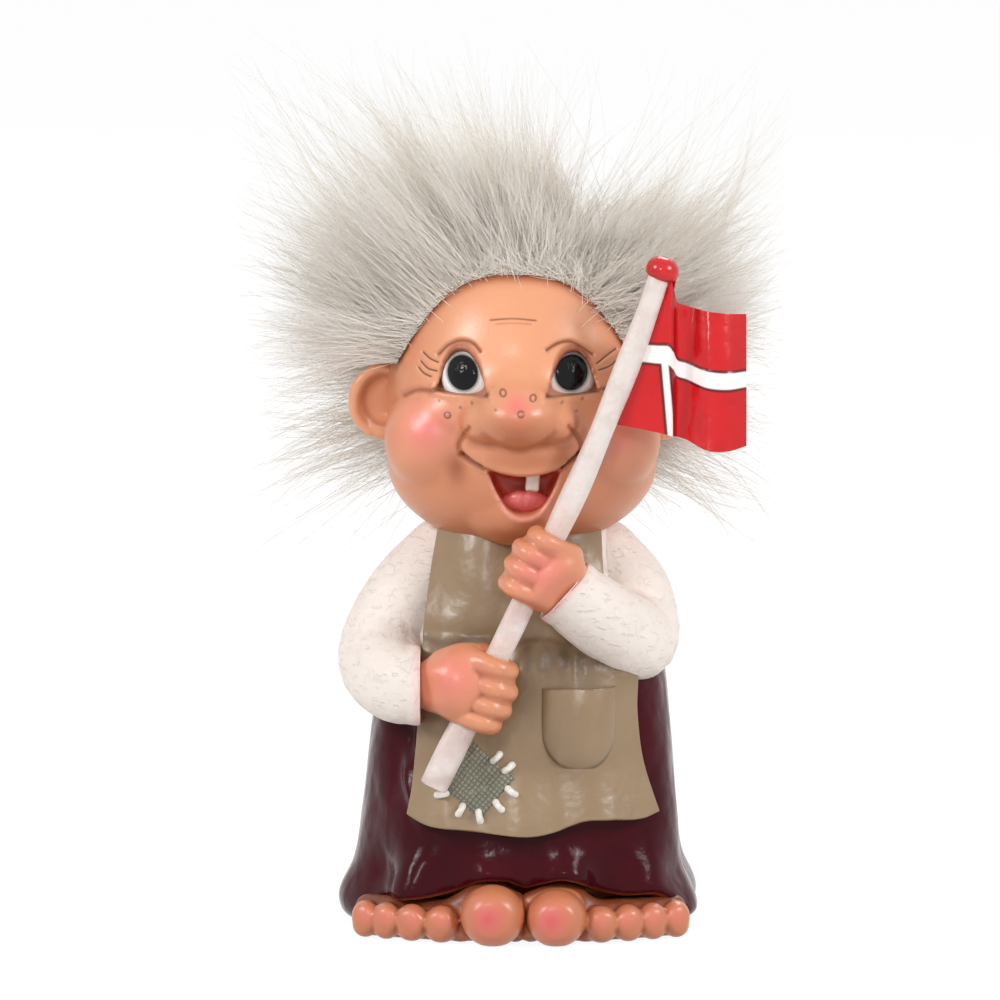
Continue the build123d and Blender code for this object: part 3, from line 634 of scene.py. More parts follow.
class TROLL_OT_skirt(bpy.types.Operator):
    """Lays the skirt out from a wrapped grid, with folds, a rolled hem and a closed base"""
    bl_idname = "troll.skirt"
    bl_label = "Skirt"

    # Place along the front and the hem's height there, over the toes from right to left.
    hem = ((-28, 1.5), (-26, 4.6), (-19.6, 6.3), (-15.4, 7.1), (-11.3, 8.3),
           (-7.1, 9.7), (-3, 9.7), (0.7, 8.5), (3.2, 9.2), (6.6, 10.2),
           (9.5, 9.6), (12.8, 8.3), (17.8, 7.0), (24, 5.9), (27.5, 1.5))

    def execute(self, context):
        fold_depth = sizes().hem_fold / MM
        lip = 1.9
        recess = 3.4
        # Shares of the grid at which the base's rim, the hem's curl, the wall and the closed top begin.
        rim, curl_start, wall_start, top_start = 0.08, 0.16, 0.36, 0.94
        curl_angle = -165

        def hem_height(turn):
            """The hem rises over the toes in front and nearly meets the table at the sides and back."""
            x = body_radius(turn, 6.0) * np.cos(turn)
            return 0.2 + ease(x, *np.transpose(self.hem)) * step(-np.sin(turn), 0.1, 0.35)

        def folds(turn, height):
            depth = fold_depth * ease(height, (0, 6.5, 19, WAIST), (1, 1, 0.5, 0))
            x = body_radius(turn, 6.0) * np.cos(turn)
            front = step(-np.sin(turn), 0.1, 0.5)
            finer = 1.5 * np.cos(2 * math.pi * (x - 8) / 13.5) * bell(height, 9.0, 5.0) * front
            ridge = 1.2 * bell(x + 24.1 - (30.5 - height) * 0.52, 0, 1.4) * bell(height, 25, 7) * front
            hollow = 2.4 * bell(np.hypot((x + 24.0) / 2.6, (height - 33) / 6.5), 0, 1) * front
            return finer + ridge - hollow - 0.8 * depth * np.cos(FOLD_COUNT * turn)

        def place(u, v):
            turn = u * math.pi + math.pi / 2
            share = (v + 1) / 2
            hem = hem_height(turn)
            curl = np.radians(np.interp(share, (curl_start, wall_start), (curl_angle, 0)))
            wall = np.interp(share, (wall_start, top_start), (0, 1))
            height = hem + lip + lip * np.sin(curl) + wall * (WAIST + 1 - hem - lip)
            reach = body_radius(turn, height) + folds(turn, height)
            radius = reach - lip + lip * np.cos(curl)
            under = np.interp(share, (0, rim), (0, 1))
            inner = body_radius(turn, np.zeros_like(turn)) - recess * step(hem, 0.5, 5) - 2 * lip
            lower = share < curl_start
            radius = np.where(lower, inner * under, radius)
            rise = np.interp(share, (rim, curl_start), (0, 1))
            hem_back = hem + lip * (1 + math.sin(math.radians(curl_angle)))
            height = np.where(lower, rise * hem_back, height)
            radius = radius * np.interp(share, (top_start, 1), (1, 0))
            return rows_of(radius * np.cos(turn), radius * np.sin(turn), np.maximum(height, 0))

        skin = Skin(wrapped(260, 110, place))
        x, y, z = skin.points.T
        under_hem = step(hem_height(np.arctan2(y, x)) + 0.7 - z, 0, 0.8) * step(-y, 4, 12)
        skin.add_mark("wash_and_painted_shade", under_hem)
        hand_over("skirt_casting", skin.settle(), deep_skirt("burgundy gloss"), "skirt_paint", "skirt")
        return {"FINISHED"}


class TROLL_OT_torso(bpy.types.Operator):
    """Lays the blouse's body out from a wrapped grid"""
    bl_idname = "troll.torso"
    bl_label = "Torso"

    def execute(self, context):
        def place(u, v):
            turn = u * math.pi + math.pi / 2
            share = (v + 1) / 2
            height = np.interp(share, (0.04, 0.96), (WAIST - 0.5, 67.0))
            radius = body_radius(turn, height) - 0.35
            pleats = 0.3 * np.cos(14 * turn) * bell(height, WAIST + 6, 3)
            radius = (radius + pleats) * np.interp(share, (0, 0.04, 0.96, 1), (0, 1, 1, 0))
            return rows_of(radius * np.cos(turn), radius * np.sin(turn), height)

        skin = Skin(wrapped(180, 60, place))
        # A darker band where the blouse meets the skirt.
        skin.add_mark("wash_and_painted_shade", bell(skin.points[:, 2], WAIST + 1, 1.0))
        hand_over("torso_casting", skin.settle(), crackled_blouse("crackled blouse body"),
                  "blouse_paint", "torso")
        return {"FINISHED"}


class TROLL_OT_sleeves(bpy.types.Operator):
    """Rolls both sleeves of clay, with a rim at each cuff and creases in each elbow"""
    bl_idname = "troll.sleeves"
    bl_label = "Sleeves"

    # Shoulder to wrist, and the radius at each place.
    lines = {"right": (((-12.2, -1, 60.6), (-18.4, -4, 55.2), (-23.2, -9.5, 45.6), (-21.0, -17.0, 42.8),
                        (-11.4, -26.0, 43.2)), (7.8, 7.5, 7.5, 6.9, 5.9)),
             "left": (((12.8, -1, 60.2), (17.6, -4.5, 55.6), (18.9, -10.5, 49.0), (14.0, -18.0, 52.8),
                       (3.6, -25.6, 61.6)), (7.6, 7.2, 7.1, 6.6, 5.6))}
    # The forearm lies in front of this depth.
    forearm_depth = -13

    def execute(self, context):
        paint = crackled_blouse("crackled sleeves")
        for side, (line, radii) in self.lines.items():
            clay = Clay()
            clay.rope(line, radii)
            skin = clay.fuse(0.42, 5)
            cuff_place, out = CUFFS[side]
            forearm = skin.points[:, 1] < self.forearm_depth
            skin.clip(cuff_place, out, forearm)
            beyond = np.where(forearm, (skin.points - cuff_place) @ out, -99.0)
            cuff = bell(beyond, -0.5, 0.8) - 0.8 * bell(beyond, -2.4, 0.7)
            elbow = np.linalg.norm(skin.points - np.array(line[2]), axis=1)
            ripple = np.sin(skin.points @ np.array((0.5, 0.9, 1.5)) * 1.1) * bell(elbow, 5.5, 3.5)
            skin.swell(0.14 * cuff * step(beyond, -6, -3) + 0.1 * ripple)
            skin.add_mark("wash_and_painted_shade", 0.8 * skin.hollows(8, 0.12))
            skin.add_mark("blush", bell(beyond, 0.0, 1.1))
            hand_over(side + "_sleeve_casting", skin.settle(), paint, "blouse_paint", side + "_sleeve")
        return {"FINISHED"}


class TROLL_OT_hands(bpy.types.Operator):
    """Rolls both fists of clay, their fingers wrapped round the staff"""
    bl_idname = "troll.hands"
    bl_label = "Hands"

    # Start and tip of each finger, as x, z.
    right_fingers = (((-9.6, 49.2), (-2.5, 46.4)), ((-10.2, 45.7), (-2.6, 42.9)),
                     ((-10.8, 42.6), (-3.6, 39.9)), ((-11.2, 39.6), (-5.2, 37.5)))
    left_fingers = (((8.6, 65.6), (2.5, 68.7)), ((6.1, 63.5), (0, 66.6)),
                    ((4.8, 60.8), (-1.3, 63.9)), ((3.8, 57.7), (-2.3, 60.8)))
    # Share of the way from a finger's start to its tip, and its depth there, as it curls round the staff.
    curl = ((0, -26.8), (0.42, -30.6), (0.84, -31.2), (1.04, -29.4), (1.02, -27.0), (0.8, -24.8))

    def fingers(self, clay, ends, radius):
        ends = np.array(ends)
        between = (ends[1:] + ends[:-1]) / 2
        fills = [(pair, 0.66) for pair in between]
        for (start, tip), share_of_radius in [(pair, 1.0) for pair in ends] + fills:
            run = tip - start
            line = []
            for share, depth in self.curl:
                x, z = start + run * share
                line.append((x, depth, z))
            clay.rope(line, radius * share_of_radius * np.array((1, 1.04, 1, 0.95, 0.9, 0.9)), 0.4)

    def finish_hand(self, side, clay, blush_place, along, knuckles, slope, paint):
        """Smooths the back of the hand up to the knuckles and slopes it down to the cuff."""
        skin = clay.fuse(0.26, 8)
        skin.clip(*slope)
        cuff_place, out = CUFFS[side]
        skin.clip(cuff_place - 0.5 * out, -out)
        x, y, z = skin.points.T
        back = step(x * along[0] + z * along[1], knuckles - 1.0, knuckles + 3.0) * (y < -25)
        skin.relax(back, 30)
        away = np.linalg.norm((skin.points - np.array(blush_place)) / (5.2, 7, 4.8), axis=1)
        skin.add_mark("blush", 0.8 * bell(away, 0, 0.85))
        skin.add_mark("wash_and_painted_shade", skin.hollows(8, 0.14))
        # Painted shade: the hands are darker all over, and more on their undersides.
        skin.add_mark("shade", 0.4 + 0.6 * step(-skin.normals()[:, 2], 0.1, 0.9))
        hand_over(side + "_hand_casting", skin.settle(), paint, "skin_paint", side + "_hand")

    def execute(self, context):
        paint = resin_skin("hand skin")
        right = Clay()
        self.fingers(right, self.right_fingers, 1.68)
        right.rope(((-14.2, -24.4, 43.1), (-12.2, -27.0, 43.9), (-9.2, -27.8, 43.7)), (4.5, 5.3, 5.1))
        right.ball((-10.2, -27.9, 43.6), (5.6, 5.0, 6.4), (0, -14, 0))
        right.rope(((-13.4, -25.8, 47.6), (-10.2, -26.6, 48.9), (-6.4, -25.4, 48.9)), (2.0, 1.9, 1.6))
        self.finish_hand("right", right, (-11.6, -32, 45.6), (-0.93, 0.367), 23.2,
                         ((-16.4, -29.5, 43.0), (-0.6, -0.8, 0)), paint)
        left = Clay()
        self.fingers(left, self.left_fingers, 1.6)
        left.rope(((7.2, -23.8, 59.4), (6.2, -26.8, 60.8), (4.4, -27.8, 62.2)), (4.3, 5.0, 4.7))
        left.ball((4.9, -27.9, 61.6), (4.9, 5.0, 6.4), (0, 36, 0))
        self.finish_hand("left", left, (3.0, -32, 63.4), (0.89, -0.45), -26.6,
                         ((7.5, -29.5, 58.4), (0.45, -0.8, -0.4)), paint)
        return {"FINISHED"}


class TROLL_OT_feet(bpy.types.Operator):
    """Models both bare feet of clay: a big toe, four small toes with blunt ends and a sole"""
    bl_idname = "troll.feet"
    bl_label = "Feet"

    # Big toe as its place and radius, then the small toes outwards as place and half width.
    big = {"right": (-4.9, 5.35), "left": (5.6, 4.95)}
    # The big toes end this far from the middle.
    big_reach = 10.6
    small = {"right": ((-13.4, 2.45), (-18.3, 2.3), (-22.5, 1.95), (-26.0, 1.9)),
             "left": ((13.0, 2.35), (17.5, 2.1), (21.6, 2.0), (25.5, 1.9))}

    def toe_depth(self, x):
        """How far forward a toe's middle lies."""
        return -25.4 + 7.0 * (np.abs(x) / 26.8) ** 2.2

    def execute(self, context):
        paint = resin_skin("foot skin")
        for side, toes in self.small.items():
            clay = Clay()
            big_x, big_radius = self.big[side]
            clay.ball((big_x, -25.6, big_radius - 0.5), (big_radius, 5.0, big_radius * 0.97))
            clay.ball((big_x * 1.15, -19.5, 6.2), (big_radius * 0.95, 6, 3.8))
            sole = [(0.2 * big_x / abs(big_x), -23.0, 1.3), (big_x, -23.6, 1.3)]
            ledge = [(big_x * 0.3, -21.6, 6.0), (big_x, -21.6, 7.4)]
            for x, half_width in toes:
                depth = self.toe_depth(x)
                clay.ball((x, depth, 3.5), (half_width + 0.4, 3.2, 2.75))
                clay.ball((x, depth + 0.3, 2.2), (half_width + 0.3, 2.8, 2.2))
                sole.append((x, depth + 1.8, 1.1))
                ledge.append((x * 0.98, depth + 4.0, 4.3))
            clay.rope(sole, 1.05)
            outer = big_x + math.copysign(big_radius, big_x)
            clay.rope(((outer, -22.4, 1.6), (outer, -21.6, 4.4)), 1.9)
            clay.rope(((0.25 * big_x, -23.0, 1.6), (0.25 * big_x, -22.2, 4.4)), 1.7)
            clay.rope(ledge, 2.3)
            middle = sum(x for x, _ in toes) / len(toes)
            clay.ball((middle * 0.92, -13.5, 3.2), (9.5, 9.5, 3.0))
            skin = clay.fuse(0.3, 2)
            skin.clip((0, 0, 0.02), (0, 0, -1))
            x, y, z = skin.points.T
            blunt = np.where(np.abs(x) < self.big_reach, -29.6, self.toe_depth(x) - 2.2)
            skin.points[:, 1] = np.where(y < blunt, blunt + (y - blunt) * 0.45, y)
            skin = Skin(refined(skin.settle(), 0.3, 2))
            skin.clip((0, 0, 0.02), (0, 0, -1))
            x, y, z = skin.points.T
            away = np.hypot(x - big_x + 0.8, z - big_radius + 0.2)
            skin.add_mark("blush", bell(away, 0, 2.6) * (y < -24))
            skin.add_mark("flush", 0.6 * bell(away, 0, 1.8) * (y < -24))
            for toe, _ in toes:
                away = np.hypot(x - toe, z - 4.2)
                skin.add_mark("blush", 0.55 * bell(away, 0, 1.6) * (y < -16))
            # The strip behind the toes, under the hem, is painted orange-brown wash with painted shade, and
            # darkened more with the line paint.
            behind = np.where(np.abs(x) < self.big_reach, -23.6, self.toe_depth(x) + 0.8)
            skin.add_mark("wash_and_painted_shade", np.maximum(skin.hollows(10, 0.16), step(y - behind, 0, 0.8) * (z > 1.6)))
            skin.add_mark("line", 0.5 * step(y - behind, 0.2, 1.0) * (z > 1.6))
            # Painted shade: the feet are darker all over, more towards the table and on their undersides.
            under = 0.6 * step(-skin.normals()[:, 2], 0.2, 0.9)
            skin.add_mark("shade", np.maximum(0.85 + 0.15 * step(-z, -2.4, -0.2), under))
            hand_over(side + "_foot_casting", skin.settle(), paint, "skin_paint", side + "_foot")
        return {"FINISHED"}


APRON_TOP = 68.0
APRON_FOOT = 18.0
# Height on the apron, and the places of its two edges there.
APRON_EDGES = ((18, -18.3, 21.9), (22, -17.6, 20.8), (28, -17.0, 19.3), (36, -16.5, 18.3),
               (46, -16.2, 17.8), (56, -15.0, 13.6), (68, -12.8, 12.0))


def apron_hem(x):
    """Height of the apron's hem."""
    return ease(x, (-18.4, -16, -10, -3, 2, 5.5, 8, 10.5, 14, 20, 22),
                (20.8, 19.7, 18.8, 18.2, 18.0, 18.6, 19.5, 20.3, 20.3, 20.1, 20.8))


def apron_front(x, height):
    """Depth of the apron's back face, which lies on the body and flares at the hem."""
    flare = 1.5 * step(-height, -30, -18) + 0.9 * np.cos((x - 13.5) * 0.48) * step(-height, -38, -19)
    waist = 0.9 * bell(height, 50, 2.2)
    gathers = 0.3 * np.cos(x * 1.1 + 0.4) * bell(height, 46, 4.5)
    drape = 0.55 * np.sin(x * 0.35 + height * 0.16) * bell(height, 58, 7)
    drape = drape + 0.4 * np.sin(x * 0.5 - height * 0.12)
    return body_front(x, height) - 1.3 - flare + waist - gathers - drape


def apron_face(x, height):
    """Depth of the apron's outer face."""
    return apron_front(x, height) - sizes().apron_thickness / MM


class TROLL_OT_apron(bpy.types.Operator):
    """Lays the apron on the body from a grid and gives it thickness and round edges"""
    bl_idname = "troll.apron"
    bl_label = "Apron"

    def execute(self, context):
        thickness = sizes().apron_thickness / MM
        edges = np.array(APRON_EDGES)

        def place(u, v):
            share = (v + 1) / 2
            rough = APRON_FOOT + share * (APRON_TOP - APRON_FOOT)
            left = ease(rough, edges[:, 0], edges[:, 1])
            right = ease(rough, edges[:, 0], edges[:, 2])
            x = left + (right - left) * (u + 1) / 2
            hem = apron_hem(x)
            height = hem + share * (APRON_TOP - hem)
            return rows_of(x, apron_front(x, height), height)

        mesh = wrapped(130, 150, place)
        mesh = modified(mesh, ("SOLIDIFY", {"thickness": thickness, "offset": 1.0}),
                        ("BEVEL", {"width": thickness * 0.3, "segments": 3, "limit_method": "ANGLE"}))
        skin = Skin(mesh)
        x, _, z = skin.points.T
        seam = bell(z, 49.6 + 0.5 * np.sin(x * 0.6), 0.8)
        skin.add_mark("wash_and_painted_shade", 0.75 * seam)
        # Painted shade: streaked under the left sleeve along the gathers, a patch behind the hands, and a
        # band along the hem's lower edge.
        gathers = (0.85 + 0.15 * np.sin(x * 2.1)) * bell(z, 46.8, 3.4) * step(x, -2, 1)
        skin.add_mark("wash_and_painted_shade", 0.7 * bell(np.hypot((x - 1.2) / 2.6, (z - 43) / 6.5), 0, 1))
        skin.add_mark("wash_and_painted_shade", np.maximum(gathers, 0.5 * step(apron_hem(x) + 0.5 - z, 0, 0.8)))
        hand_over("apron_casting", skin.settle(), glossy_apron("taupe gloss"), "apron_paint", "apron")
        return {"FINISHED"}


class TROLL_OT_pocket(bpy.types.Operator):
    """Lays the apron's pocket from a grid, round below and open along its top"""
    bl_idname = "troll.pocket"
    bl_label = "Pocket"

    def execute(self, context):
        centre, low, high, half = 9.4, 28.7, 42.3, 6.4
        round_part = 0.55
        roundness = 2.4

        def place(u, v):
            share = (v + 1) / 2
            dip = np.clip(1 - share / round_part, 0, 1)
            width = half * np.clip(1 - dip ** roundness, 0.0009, 1) ** (1 / roundness)
            x = centre + u * width
            height = low + share * (high - low)
            across = np.abs(u) ** 5
            down = np.clip(1 - share * 1.05, 0, 1) ** 9
            lift = 1.5 * (1 - np.maximum(across, down)) * (0.8 + 0.4 * np.sin(share * 2.6))
            return rows_of(x, apron_face(x, height) + 0.2 - lift, height)

        mesh = modified(wrapped(70, 70, place), ("SOLIDIFY", {"thickness": 0.7, "offset": -1.0}))
        skin = Skin(mesh)
        x, _, z = skin.points.T
        rim = np.hypot((x - centre) / half, np.minimum(z - low - 7, 0) / 7)
        skin.add_mark("wash_and_painted_shade", 0.75 * step(rim, 0.9, 1.0))
        # Painted shadow in the pocket's opening along its top edge.
        skin.add_mark("wash_and_painted_shade", 0.8 * step(z, high - 0.3, high - 0.05))
        hand_over("apron_pocket_casting", skin.settle(), glossy_apron("taupe gloss pocket"),
                  "apron_paint", "apron_pocket")
        return {"FINISHED"}


PATCH_CENTRE = (-7.4, 27.0)
PATCH_HALF = 4.5
PATCH_TURN = math.radians(51)


def patch_place(across, along, lift):
    """A place on the patch, turned in the plane of the apron's front."""
    x = PATCH_CENTRE[0] + across * math.cos(PATCH_TURN) - along * math.sin(PATCH_TURN)
    height = PATCH_CENTRE[1] + across * math.sin(PATCH_TURN) + along * math.cos(PATCH_TURN)
    return rows_of(x, apron_face(x, height) - lift, height)


class TROLL_OT_patch(bpy.types.Operator):
    """Weaves the patch as a thin pad with a frayed edge, and sews it on with raised stitches"""
    bl_idname = "troll.patch"
    bl_label = "Patch"

    # Middle of each stitch as x, z, and its direction in degrees.
    stitches = ((-4.3, 31.0, 45), (-2.3, 29.4, 38), (-1.8, 25.6, -38), (-3.9, 23.2, -50),
                (-7.1, 21.4, -78), (-10.2, 22.4, -118), (-13.3, 24.9, -168))

    def execute(self, context):
        def place(u, v):
            fray = 1 + 0.025 * np.sin(31 * u + 2 * v) + 0.025 * np.sin(27 * v - u)
            pad = 0.6 * (1 - np.maximum(np.abs(u), np.abs(v)) ** 6)
            return patch_place(u * PATCH_HALF * fray, v * PATCH_HALF * fray, pad)

        mesh = modified(wrapped(110, 110, place), ("SOLIDIFY", {"thickness": 0.5, "offset": -1.0}))
        hand_over("apron_patch_casting", mesh, woven_patch("woven patch"), "patch_paint", "apron_patch")
        self.sew()
        return {"FINISHED"}

    def sew(self):
        clay = Clay()
        for x, height, angle in self.stitches:
            run = np.array((-0.75, 0, 0.75))
            across = x + run * math.cos(math.radians(angle))
            along = height + run * math.sin(math.radians(angle))
            depth = apron_face(across, along) - np.array((0.5, 0.9, 0.25))
            clay.rope(rows_of(across, depth, along), (0.6, 0.56, 0.62), 0.2)
        skin = clay.fuse(0.14, 2)
        white = plain_gloss("stitch white", paints().stitch, srgb(206, 200, 188), roughness=0.45, grains=1.2)
        hand_over("patch_stitch_threads", skin.settle(), white, "stitch_paint", "patch_stitches")


class TROLL_OT_staff(bpy.types.Operator):
    """Rolls the bowed staff of clay, cut square at its foot, with pink smudges by the hands"""
    bl_idname = "troll.staff"
    bl_label = "Staff"

    # Height, reach and strength of each smudge.
    smudges = ((50.5, 2.0, 0.35), (56.5, 2.5, 0.5), (71, 2.5, 0.4), (34, 2.5, 0.3))
    # The front of the staff is flattened to a share of what lies before this depth.
    flat_depth = -28.7
    flat_share = 0.45

    def execute(self, context):
        clay = Clay()
        clay.rope(STAFF_LINE, STAFF_RADII)
        skin = clay.fuse(0.36, 5)
        line = np.array(STAFF_LINE)
        skin.clip(line[0], line[0] - line[1])
        skin.clip(line[-1], line[-1] - line[-2])
        _, y, z = skin.points.T
        flattened = self.flat_depth + (y - self.flat_depth) * self.flat_share
        skin.points[:, 1] = np.where(y < self.flat_depth, flattened, y)
        skin.swell(0.12 * np.sin(z * 0.3 + 1) * np.sin(y + 0.4))
        for height, reach, strength in self.smudges:
            skin.add_mark("blush", strength * bell(z, height, reach))
        # Darker brown towards the staff's foot.
        skin.add_mark("wash_and_painted_shade", 0.5 * bell(z, 28.0, 1.0))
        white = plain_gloss("staff white", paints().staff, srgb(206, 192, 184),
                            roughness=0.34, grains=0.4, depth=0.2)
        hand_over("flag_staff_casting", skin.settle(), white, "staff_paint", "flag_staff")
        return {"FINISHED"}


class TROLL_OT_knob(bpy.types.Operator):
    """Spins the red knob on the head of the staff"""
    bl_idname = "troll.knob"
    bl_label = "Staff knob"

    def execute(self, context):
        profile = ((0, -1.1), (1.7, -1.0), (2.45, -0.55), (2.75, 0.35),
                   (2.55, 1.5), (1.85, 2.35), (0.9, 2.75), (0, 2.85))
        form = bmesh.new()
        outline = smooth_line(profile, 0.28)
        outline[[0, -1], 0] = 0
        verts = [form.verts.new((radius, 0, height)) for radius, height in outline]
        edges = [form.edges.new(pair) for pair in zip(verts[:-1], verts[1:])]
        bmesh.ops.spin(form, geom=verts + edges, axis=(0, 0, 1), cent=(0, 0, 0), angle=2 * math.pi,
                       steps=48, use_merge=True)
        bmesh.ops.remove_doubles(form, verts=form.verts, dist=0.001)
        bmesh.ops.recalc_face_normals(form, faces=form.faces)
        top, below = Vector(STAFF_LINE[-1]), Vector(STAFF_LINE[-2])
        turn = Vector((0, 0, 1)).rotation_difference(top - below).to_matrix().to_4x4()
        bmesh.ops.transform(form, matrix=Matrix.Translation(top) @ turn, verts=form.verts)
        red = plain_gloss("knob red", paints().flag, srgb(160, 14, 20), roughness=0.14, depth=0.05)
        hand_over("staff_knob_casting", mesh_of(form, "knob"), red, "flag_paint", "staff_knob")
        return {"FINISHED"}


class TROLL_OT_flag(bpy.types.Operator):
    """Lays the flag from a grid in one fold beside the staff, and draws its cross"""
    bl_idname = "troll.flag"
    bl_label = "Flag"

    # Share of the flag's length, place across, depth, and the heights of its top and bottom there.
    # Across runs from 0 at the staff to 1 at the crease and 2 at the flag's free edge.
    wave = ((0, 0, -27.2, 109.8, 87.0), (0.16, 0.5, -28.0, 110.3, 86.2),
            (0.3, 0.93, -28.6, 110.6, 85.3), (0.36, 1.01, -28.2, 109.6, 85.0),
            (0.43, 1.07, -27.0, 107.0, 84.8), (0.5, 1.18, -26.4, 106.3, 84.4),
            (0.72, 1.5, -28.2, 105.3, 82.8), (0.86, 1.75, -27.8, 104.9, 82.7),
            (1, 2.0, -25.6, 104.6, 83.3))
    crease_x = 24.4
    fly_x = 36.6

    def execute(self, context):
        wave = np.array(self.wave)
        marks = {}

        def curve(share, column):
            return ease(share, wave[:, 0], wave[:, column])

        def place(u, v):
            share = (u + 1) / 2
            low, high = curve(share, 4), curve(share, 3)
            height = low + (high - low) * (v + 1) / 2
            across = curve(share, 1)
            by_staff = staff_x(height) + 1.0
            near = by_staff + np.minimum(across, 1) * (self.crease_x - by_staff)
            x = near + np.maximum(across - 1, 0) * (self.fly_x - self.crease_x)
            ripple = (0.3 * np.sin(2.6 * v + 5 * share) + (height - 95) * 0.17) * step(share, 0.42, 0.6)
            lengthwise = 1.5 - np.abs(v - 0.02) * 11.5
            upright = 0.7 - np.abs(x - 23.2 - (97 - height) * 0.09)
            upright = np.where((share < 0.36) & (height < 98), upright, -9)
            marks["cross"] = 0.5 + 0.4 * np.maximum(lengthwise, upright)
            # Painted shade in the fold's crease and beside the staff.
            marks["wash_and_painted_shade"] = np.maximum(bell(share, 0.385, 0.03), 0.7 * bell(share, 0.0, 0.08))
            return rows_of(x, curve(share, 2) + ripple, height)

        skin = Skin(wrapped(200, 120, place))
        for name, strength in marks.items():
            skin.add_mark(name, strength)
        raised = step(skin.marks["cross"], 0.4, 0.6) * (1 - skin.marks["wash_and_painted_shade"])
        skin.points[:, 1] -= 0.12 * raised
        thickness = sizes().flag_thickness / MM
        rounding = {"width": 0.35, "segments": 3, "limit_method": "ANGLE", "angle_limit": 1.2}
        mesh = modified(skin.settle(), ("SOLIDIFY", {"thickness": thickness, "offset": -1.0}),
                        ("BEVEL", rounding))
        hand_over("flag_casting", mesh, cross_flag("flag gloss"), "flag_paint", "flag")
        return {"FINISHED"}


# The face

EYES = {"right": (-10.0, 94.4), "left": (8.2, 94.5)}
IRISES = {"right": ((-9.8, 94.6), (2.55, 2.85)), "left": ((8.0, 94.7), (2.7, 2.9))}
HEAD_CENTRE = (0.2, -2.0, 87.0)
SKULL = (22.8, 22.6, 20.5, 29.8)


def mouth_inside(x, z):
    """How far a place on the face lies inside the open mouth, in millimetres."""
    share = np.abs(x - 0.3) / (sizes().mouth_half_width / MM)
    upper = 77.6 + 1.4 * share ** 2
    lower = 71.2 + 7.8 * share ** 2.5
    return np.minimum(upper - z, z - lower)


def eye_inside(side, x, z):
    """How far a place on the face lies inside an eye's opening, in millimetres."""
    centre, _ = EYES[side]
    share = np.clip((x - centre) / (sizes().eye_half_width / MM), -1, 1)
    bottom = 91.2 + 0.25 * share ** 2
    top = 91.4 + 6.6 * (1 - np.abs(share) ** 2.4)
    sideways = np.abs(x - centre) - sizes().eye_half_width / MM
    return np.minimum(np.minimum(top - z, z - bottom), -sideways)


